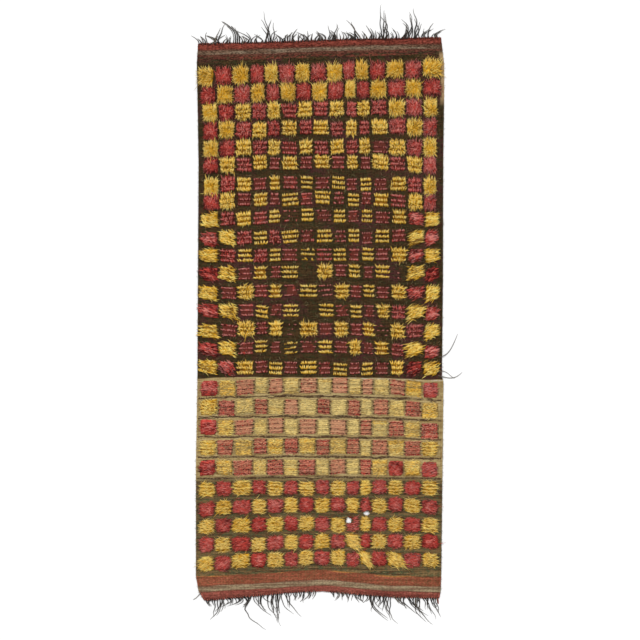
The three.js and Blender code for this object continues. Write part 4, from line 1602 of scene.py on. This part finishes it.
def flat_knots(row, column, fresh):
    """The lines of knots of a flat block, fresher and darker than the wool round them. Each is
    fresh along a stretch of it only."""
    red = is_red(row, column)
    lines = len(FLAT_LINES)
    strong = np.clip(rng.random(lines) ** 1.5 + 1.1 * fresh, 0.1, 1.0)
    ox = np.tile(np.linspace(-1, 1, FLAT_KNOTS), lines)
    count = len(ox)
    centre = np.repeat(rng.uniform(-1, 1, lines), FLAT_KNOTS)
    stretch = np.repeat(rng.uniform(0.3, 1.3, lines) + 1.5 * fresh, FLAT_KNOTS)
    strong = np.repeat(strong, FLAT_KNOTS) * np.where(np.abs(ox - centre) < stretch, 1.0, 0.25)
    kept = rng.random(count) < (0.5 + 0.5 * strong if red else 0.5)
    along = np.repeat(FLAT_LINES, FLAT_KNOTS) + rng.normal(0, 1.6, count)
    x, y = block_places(row, column, ox, along, 7.0)
    return tuft_table(
        x - 4.0, y, rng.uniform(7, 9.5, count), rng.normal(0, 0.12, count), 0.0,
        1.8 + 1.8 * fresh, (3.6 + 5.0 * strong) if red else (2.0 + 1.0 * strong),
        unit(rng.normal(0.14, 0.1, count) + 0.1 * fresh), 0.0, (0.4 if red else 0.7) * (1 - strong),
    )[kept]


def tufts(row, column):
    """The tufts of one block, one row of numbers for each."""
    if is_flat(row, column):
        return combed_flat(row, column)
    if row >= KHAKI_ROW:
        return combed_shag(row, column)
    if is_swept(row, column):
        return swept_locks(row, column)
    if WEAR[row, column] >= WORN:
        return worn_lines(row, column)
    return shag(row, column)


# The tufts stay under this height, in mm.
HIGHEST_TUFT = 21.5


def laid_lines(x, y, length, heading, curl, lift, steps):
    """Centre lines of tufts that lie over the beds of wool: each starts a little inside its bed,
    rises by lift and comes down towards its tip."""
    share = np.linspace(0, 1, steps)[None]
    turn = heading[:, None] + curl[:, None] * share
    step = (length / (steps - 1))[:, None]
    px = x[:, None] + np.cumsum(np.cos(turn) * step, axis=1) - np.cos(turn[:, :1]) * step
    py = y[:, None] + np.cumsum(np.sin(turn) * step, axis=1) - np.sin(turn[:, :1]) * step
    bed = pile_height(px.ravel(), py.ravel()).reshape(px.shape)
    rise = lift[:, None] * np.sin(math.pi * share**0.75) - 1.5 * (1 - share) ** 3 + 0.9
    return np.stack([px, py, np.minimum(bed + rise, HIGHEST_TUFT)], axis=2) * MM


def tuft_mesh(name, table, steps, material, face_up=False):
    """One mesh of tufts. Those that would lie over a hole are left out."""
    for share in (0, 0.5, 1):
        x, y, length, heading = table[:, :4].T
        far_x, far_y = x + np.cos(heading) * length * share, y + np.sin(heading) * length * share
        table = table[~over_hole(far_x, far_y, 0.95)]
    *places, thickness, shade, fade, drab = table.T
    lines = laid_lines(*places, steps)
    profile = np.interp(np.linspace(0, 1, steps), (0, 0.3, 0.75, 1), (0.8, 1.0, 0.7, 0.2))
    radii = thickness[:, None] * MM / 2 * profile[None]
    return yarns(
        name, lines, radii, 3, material, face_up=face_up, shade=shade, fade=fade, drab=drab,
    )


def end_shadow_tufts(blocks):
    """Dark tufts at both ends of the lines of red blocks: painted shadow at the ends of their knots.
    """
    tables = []
    ends = 2 * len(FLAT_LINES)
    side = np.tile((-1.0, 1.0), len(FLAT_LINES))
    for row, column in blocks:
        along = np.repeat(FLAT_LINES, 2) + rng.normal(0, 1.2, ends)
        x, y = block_places(row, column, side, along, 1.5)
        shade = rng.normal(0.08, 0.08, ends)
        tables.append(tuft_table(
            x - 3.5, y, rng.uniform(6, 9, ends), rng.normal(0, 0.4, ends), 0.0, 3.0,
            rng.uniform(5.5, 8.5, ends), shade,
        )[rng.random(ends) < 0.9])
    return tuft_mesh("end_shadow_tufts", np.concatenate(tables), 4, WEFT_YARN)


def stray_fibres():
    """Fine fibres that have come out of the pile and lie over the ground between its blocks."""
    each = 90
    tables = []
    for row in range(ROW_COUNT):
        if in_khaki(row):
            continue
        share = rng.uniform(0.01, 0.99, each)
        y = row_y(row, share) + rng.uniform(16, 40, each) * np.where(rng.random(each) < 0.7, 1, -1)
        tables.append(tuft_table(
            between_sides(share, y), y, rng.uniform(9, 24, each), rng.uniform(0.3, 2.8, each),
            rng.normal(0, 0.7, each), rng.uniform(0.3, 1.5, each), rng.uniform(0.7, 1.3, each),
            rng.uniform(0.3, 1.0, each),
        ))
    return tuft_mesh("stray_fibres", np.concatenate(tables), 4, WEFT_YARN)


def edge_hairs():
    """Fine hairs that stand out from both long edges."""
    each = 420
    tables = []
    for side, facing in (("left", math.pi), ("right", 0.0)):
        y = rng.uniform(NEAR_END[0, 1] + 10, FAR_END[0, 1] - 10, each)
        x = side_x(side, y) - math.cos(facing) * rng.uniform(1, 5, each)
        tables.append(tuft_table(
            x, y, rng.uniform(4, 13, each), facing + rng.normal(0, 0.7, each),
            rng.normal(0, 0.8, each), rng.uniform(0.3, 2.0, each), rng.uniform(0.8, 1.5, each),
            rng.uniform(0.1, 0.8, each),
        ))
    return tuft_mesh("edge_hairs", np.concatenate(tables), 4, WEFT_YARN)


# The rows of each piece, from the first to before the second, and the colours of wool
ROW_GROUPS = ((0, 2), (2, 8), (8, 13), (13, 17), (17, 21), (21, 24), (24, 27))
WOOLS = {"yellow": YELLOW_WOOL, "red": RED_WOOL}
# The first near rows, whose red lines end in dark tufts of painted shadow like those of the flat
# blocks
END_SHADOW_ROWS = (NEAR_ROW, NEAR_ROW + 1)


def pile_pieces():
    """The beds, the lines of knots and the tufts, a few rows and one colour to a piece."""
    made = []
    for first, after in ROW_GROUPS:
        rows = f"rows_{first + 1:02}_{after:02}"
        for colour, wool_used in WOOLS.items():
            blocks = [b for b in all_blocks(range(first, after)) if is_red(*b) == (colour == "red")]
            padded = [b for b in blocks if has_bed(*b)]
            lined = [b for b in blocks if b[0] < KHAKI_ROW and (WEAR[b] >= WORN or is_swept(*b))]
            bare = [b for b in lined if WEAR[b] >= BARE]
            flat = [b for b in blocks if is_flat(*b)]
            shaggy = [b for b in blocks if b not in flat and b not in lined]
            if padded:
                made.append(wool_beds(f"{colour}_beds_{rows}", padded, wool_used))
            if bare:
                made.append(knot_lines(f"{colour}_knots_{rows}", bare, wool_used))
            for kind, own, steps, face_up in (
                ("worn", lined, 4, True),
                ("flat", flat, 3, False),
                ("shag", shaggy, 3, FAR_ROWS <= first < KHAKI_ROW),
            ):
                if own:
                    table = np.concatenate([tufts(*b) for b in own])
                    name = f"{colour}_{kind}_{rows}"
                    made.append(tuft_mesh(name, table, steps, wool_used, face_up))
    reds = [b for b in all_blocks(range(ROW_COUNT)) if is_red(*b)]
    made.append(end_shadow_tufts([b for b in reds if is_flat(*b) or b[0] in END_SHADOW_ROWS]))
    made.append(stray_fibres())
    made.append(edge_hairs())
    return made


# Warp ends

# The turns of the twist in a metre of warp, and how many sides it has in the scene
WARP_TURNS = 70.0
WARP_SIDES = 5
# The share of the warp ends that have split in two, and how far apart the two start in mm
SPLIT_SHARE = 0.22
SPLIT_APART = 1.5
# How far inside the cloth's end the warp ends come out of it, in mm
ROOT_INSET = 4.5
# Where there are no warp ends at the near end, in mm
BARE_STRETCH = (-16, 42)
# The clump, by its first root, whose warp ends go straight on and only turn aside at their tips
LATE_TURNS = {-391: 3.0}
USUAL_TURN = 1.2

# The clumps in which the warp ends lie: the places of the first and last root, the place of the
# tip and its distance from the cloth, and how far the clump bows to the right on its way.
FAR_CLUMPS = (
    (-546, -533, -580, 42, 0),
    (-530, -512, -534, 40, 0),
    (-512, -498, -513, 56, 3),
    (-496, -467, -492, 40, 16),
    (-465, -449, -435, 94, -8),
    (-444, -409, -426, 46, 10),
    (-391, -373, -444, 103, 34),
    (-368, -355, -377, 76, 4),
    (-350, -314, -346, 62, 6),
    (-305, -256, -280, 42, 0),
    (-251, -233, -242, 146, 3),
    (-229, -207, -221, 108, -4),
    (-202, -175, -190, 42, 2),
    (-171, -148, -144, 40, -5),
    (-144, -103, -112, 62, -6),
    (-99, -72, -104, 46, 16),
    (-67, -30, -72, 50, 8),
    (-28, 13, -20, 48, 8),
    (15, 29, -9, 42, 4),
    (31, 81, 93, 80, -8),
    (85, 112, 84, 34, 18),
    (114, 146, 112, 34, 18),
    (148, 166, 150, 28, 4),
    (171, 189, 110, 92, 8),
    (193, 211, 192, 30, 3),
    (220, 242, 213, 66, 3),
    (251, 269, 261, 36, 0),
    (274, 287, 258, 162, 8),
    (290, 305, 312, 62, -3),
    (310, 350, 336, 54, 2),
    (359, 382, 354, 92, 30),
    (386, 449, 431, 140, 4),
    (453, 471, 462, 48, 2),
    (476, 494, 511, 72, -4),
    (498, 541, 536, 44, -3),
)
NEAR_CLUMPS = (
    (-508, -497, -500, 26, -3),
    (-496, -480, -476, 34, -14),
    (-471, -453, -482, 98, 6),
    (-449, -435, -456, 80, 6),
    (-430, -392, -432, 36, 16),
    (-390, -355, -418, 44, 30),
    (-346, -314, -366, 52, 24),
    (-308, -296, -254, 158, -52),
    (-292, -256, -230, 98, -14),
    (-251, -233, -240, 38, 2),
    (-229, -176, -189, 152, -5),
    (-174, -144, -73, 114, -12),
    (-126, -99, -116, 42, 2),
    (-94, -42, -90, 56, 6),
    (-40, -18, -32, 28, 2),
    (44, 90, 82, 28, -4),
    (94, 139, 121, 46, 0),
    (160, 186, 198, 40, -14),
    (188, 216, 196, 40, 8),
    (225, 251, 292, 120, -14),
    (256, 278, 272, 50, -2),
    (283, 319, 346, 128, -14),
    (323, 362, 392, 48, -4),
    (364, 386, 436, 84, -16),
    (388, 424, 474, 88, -6),
    (426, 449, 502, 128, -14),
    (452, 488, 536, 104, -4),
    (490, 530, 543, 92, -2),
)


def fringe(name, end, facing, clumps, bare=(0, 0)):
    """The loose warp ends at one end of the cloth: plied yarns that leave it side by side, lie
    on the floor and draw together into clumps. Some split into two, and none start between
    the two places of bare."""
    roots = np.arange(end[0, 0] + 3, end[-1, 0] - 2, WARP_PITCH)
    roots = roots[(roots < bare[0]) | (roots > bare[1])]
    split = rng.random(len(roots)) < SPLIT_SHARE
    roots = np.sort(np.concatenate([roots, roots[split] + SPLIT_APART]))
    count = len(roots)
    table = np.array(clumps, float)
    middle = (table[:, 0] + table[:, 1]) / 2
    width = table[:, 1] - table[:, 0]
    clump = np.argmin(np.abs(roots[:, None] - middle) - width / 2, axis=1)
    first, last, tip, reach, bow = table[clump].T
    inside = unit(1 - np.maximum(first - roots, roots - last) / 14)
    drawn = rng.uniform(0.6, 0.95, count)
    tip = roots + (tip - roots) * drawn * inside + rng.normal(0, 6, count)
    length = reach * rng.uniform(0.45, 0.92, count) * inside
    length = np.maximum(length, rng.uniform(24, 44, count))
    for k in range(len(table)):
        own = np.flatnonzero(clump == k)
        if len(own):
            best = own[np.argmin(np.abs(roots[own] - middle[k]))]
            length[best] = reach[best]
            tip[best] = table[k, 2]
    roots = roots + rng.normal(0, 0.8, count)
    steps = 16
    share = np.linspace(0, 1, steps)[None]
    distance = length[:, None] * share
    flow = unit(distance / np.maximum(reach, 40)[:, None])
    wave = np.sin(distance / rng.uniform(7, 13, (count, 1)) + rng.uniform(0, math.tau, (count, 1)))
    wave = wave * unit(distance / 20) * rng.uniform(0.8, 3.8, (count, 1))
    bend = (bow * inside * rng.uniform(0.5, 1.2, count) + rng.normal(0, 4, count))[:, None]
    bend = bend * np.sin(math.pi * flow)
    # Neighbouring ends bend and curl the same way.
    curl = np.repeat(rng.normal(0, 1, count // 5 + 1), 5)[:count] * 8 + rng.normal(0, 5, count)
    hook = curl[:, None] * (unit(share - 0.35) ** 1.3 * 2.2 - np.sin(math.pi * share) * 0.5)
    hook = hook * np.minimum(length, 60)[:, None] / 45
    late = np.array([LATE_TURNS.get(int(place), USUAL_TURN) for place in first])[:, None]
    straight = late > USUAL_TURN
    aside = (bend + wave + hook) * np.where(straight, 0.15, 1.0)
    px = roots[:, None] + (tip - roots)[:, None] * flow**late + aside
    py = end_y(end, roots)[:, None] + facing * (distance - ROOT_INSET)
    radius = rng.uniform(1.8, 2.9 if end is FAR_END else 2.6, count)
    taper = np.interp(share, (0, 0.3, 0.7, 1), (1.0, 0.95, 0.6, 0.2))
    size = radius[:, None] * np.where(straight, np.maximum(taper, 0.8), taper)
    on_cloth = unit((ROOT_INSET + 5 - distance) / 9)
    pz = on_cloth * (GROUND_THICKNESS + 0.6) + (1 - on_cloth) * size
    pz = pz + np.abs(np.sin(distance / 15 + roots[:, None])) * 0.7
    lines = np.stack([px, py, pz], axis=2) * MM
    return yarns(
        name, lines, size * MM, WARP_SIDES, WARP_YARN, WARP_TURNS, shade=rng.random(count),
    )


# Threads that have come loose from the edges: width, then places along each
LOOSE_THREADS = (
    (3.4, ((528, -168), (560, -160), (580, -142), (594, -118), (608, -88), (620, -56))),
    (3.2, ((526, -248), (556, -256), (580, -261), (604, -259), (624, -248), (642, -231))),
    (2.4, ((528, -236), (552, -228), (570, -236), (584, -248), (596, -258), (606, -264))),
    (3.4, (
        (-534, -1222), (-542, -1232), (-550, -1242), (-558, -1249), (-566, -1254), (-572, -1258),
    )),
)


def loose_threads():
    """The loose threads, which come down from the cloth's edge to the floor."""
    steps = 24
    share = np.linspace(0, 1, steps)
    heights = (GROUND_THICKNESS + 1, GROUND_THICKNESS, 0, 0)
    lines, widths = [], []
    for width, places in LOOSE_THREADS:
        at = np.linspace(0, len(places) - 1, steps)
        ways = []
        for values in np.array(places, float).T:
            way = np.interp(at, np.arange(len(places)), values)
            ways.append(np.convolve(np.pad(way, 2, "edge"), np.full(5, 0.2), "valid"))
        size = width / 2 * np.interp(share, (0, 0.7, 1), (1, 0.8, 0.35))
        z = np.interp(share, (0, 0.12, 0.3, 1), heights) + size
        lines.append(np.stack([*ways, z], axis=1))
        widths.append(size)
    return yarns(
        "loose_threads", np.array(lines) * MM, np.array(widths) * MM, WARP_SIDES, WARP_YARN,
        WARP_TURNS, shade=np.linspace(0.92, 1.0, len(lines)),
    )


# Surroundings

# The floor's width and how far it lies below the rug, in metres
FLOOR_WIDTH = 14.0
FLOOR_DROP = 0.0005


def floor():
    """The wide pale floor."""
    points = np.array([(-1, -1, 0), (1, -1, 0), (1, 1, 0), (-1, 1, 0)]) * FLOOR_WIDTH / 2
    points[:, 2] = -FLOOR_DROP
    obj = new_mesh("floor", points, np.array([(0, 1, 2, 3)]), np.empty((0, 3), int), floor_paint())


def lights():
    """A bright even room, with a wide soft key light from beyond the far end."""
    world = bpy.data.worlds.new("studio")
    bpy.context.scene.world = world
    world.use_nodes = True
    world.node_tree.nodes["Background"].inputs["Color"].default_value = (1, 1, 1, 1)
    world.node_tree.nodes["Background"].inputs["Strength"].default_value = 0.6
    key = bpy.data.lights.new("key_light", "SUN")
    key.energy = 2.2
    key.angle = math.radians(25)
    lamp = bpy.data.objects.new("key_light", key)
    lamp.rotation_euler = (math.radians(-42), math.radians(-14), 0)
    bpy.context.collection.objects.link(lamp)


def camera():
    data = bpy.data.cameras.new("camera")
    data.sensor_width = 36.0
    data.lens = data.sensor_width * CAMERA_HEIGHT / PICTURE_WIDTH
    cam = bpy.data.objects.new("camera", data)
    cam.location = (0, 0, CAMERA_HEIGHT)
    bpy.context.collection.objects.link(cam)
    bpy.context.scene.camera = cam


camera()
lights()
floor()
bpy.context.scene.view_settings.view_transform = "Standard"

cloth = woven_cloth()
edges = [
    selvage("left"),
    selvage("right"),
    end_cord("far_end_cord", FAR_END),
    end_cord("near_end_cord", NEAR_END),
    corner_tail(),
    row_shots(),
    hole_fray(),
]
tuft_pieces = pile_pieces()
far_fringe = fringe("far_fringe", FAR_END, 1, FAR_CLUMPS)
near_fringe = fringe("near_fringe", NEAR_END, -1, NEAR_CLUMPS, BARE_STRETCH)
threads = loose_threads()

for piece in (cloth, threads, *edges, *tuft_pieces):
    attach(piece, "root")
    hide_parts("rug_body")
for piece, node in ((far_fringe, "fringe_top"), (near_fringe, "fringe_bottom")):
    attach(piece, "root")
    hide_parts(node)
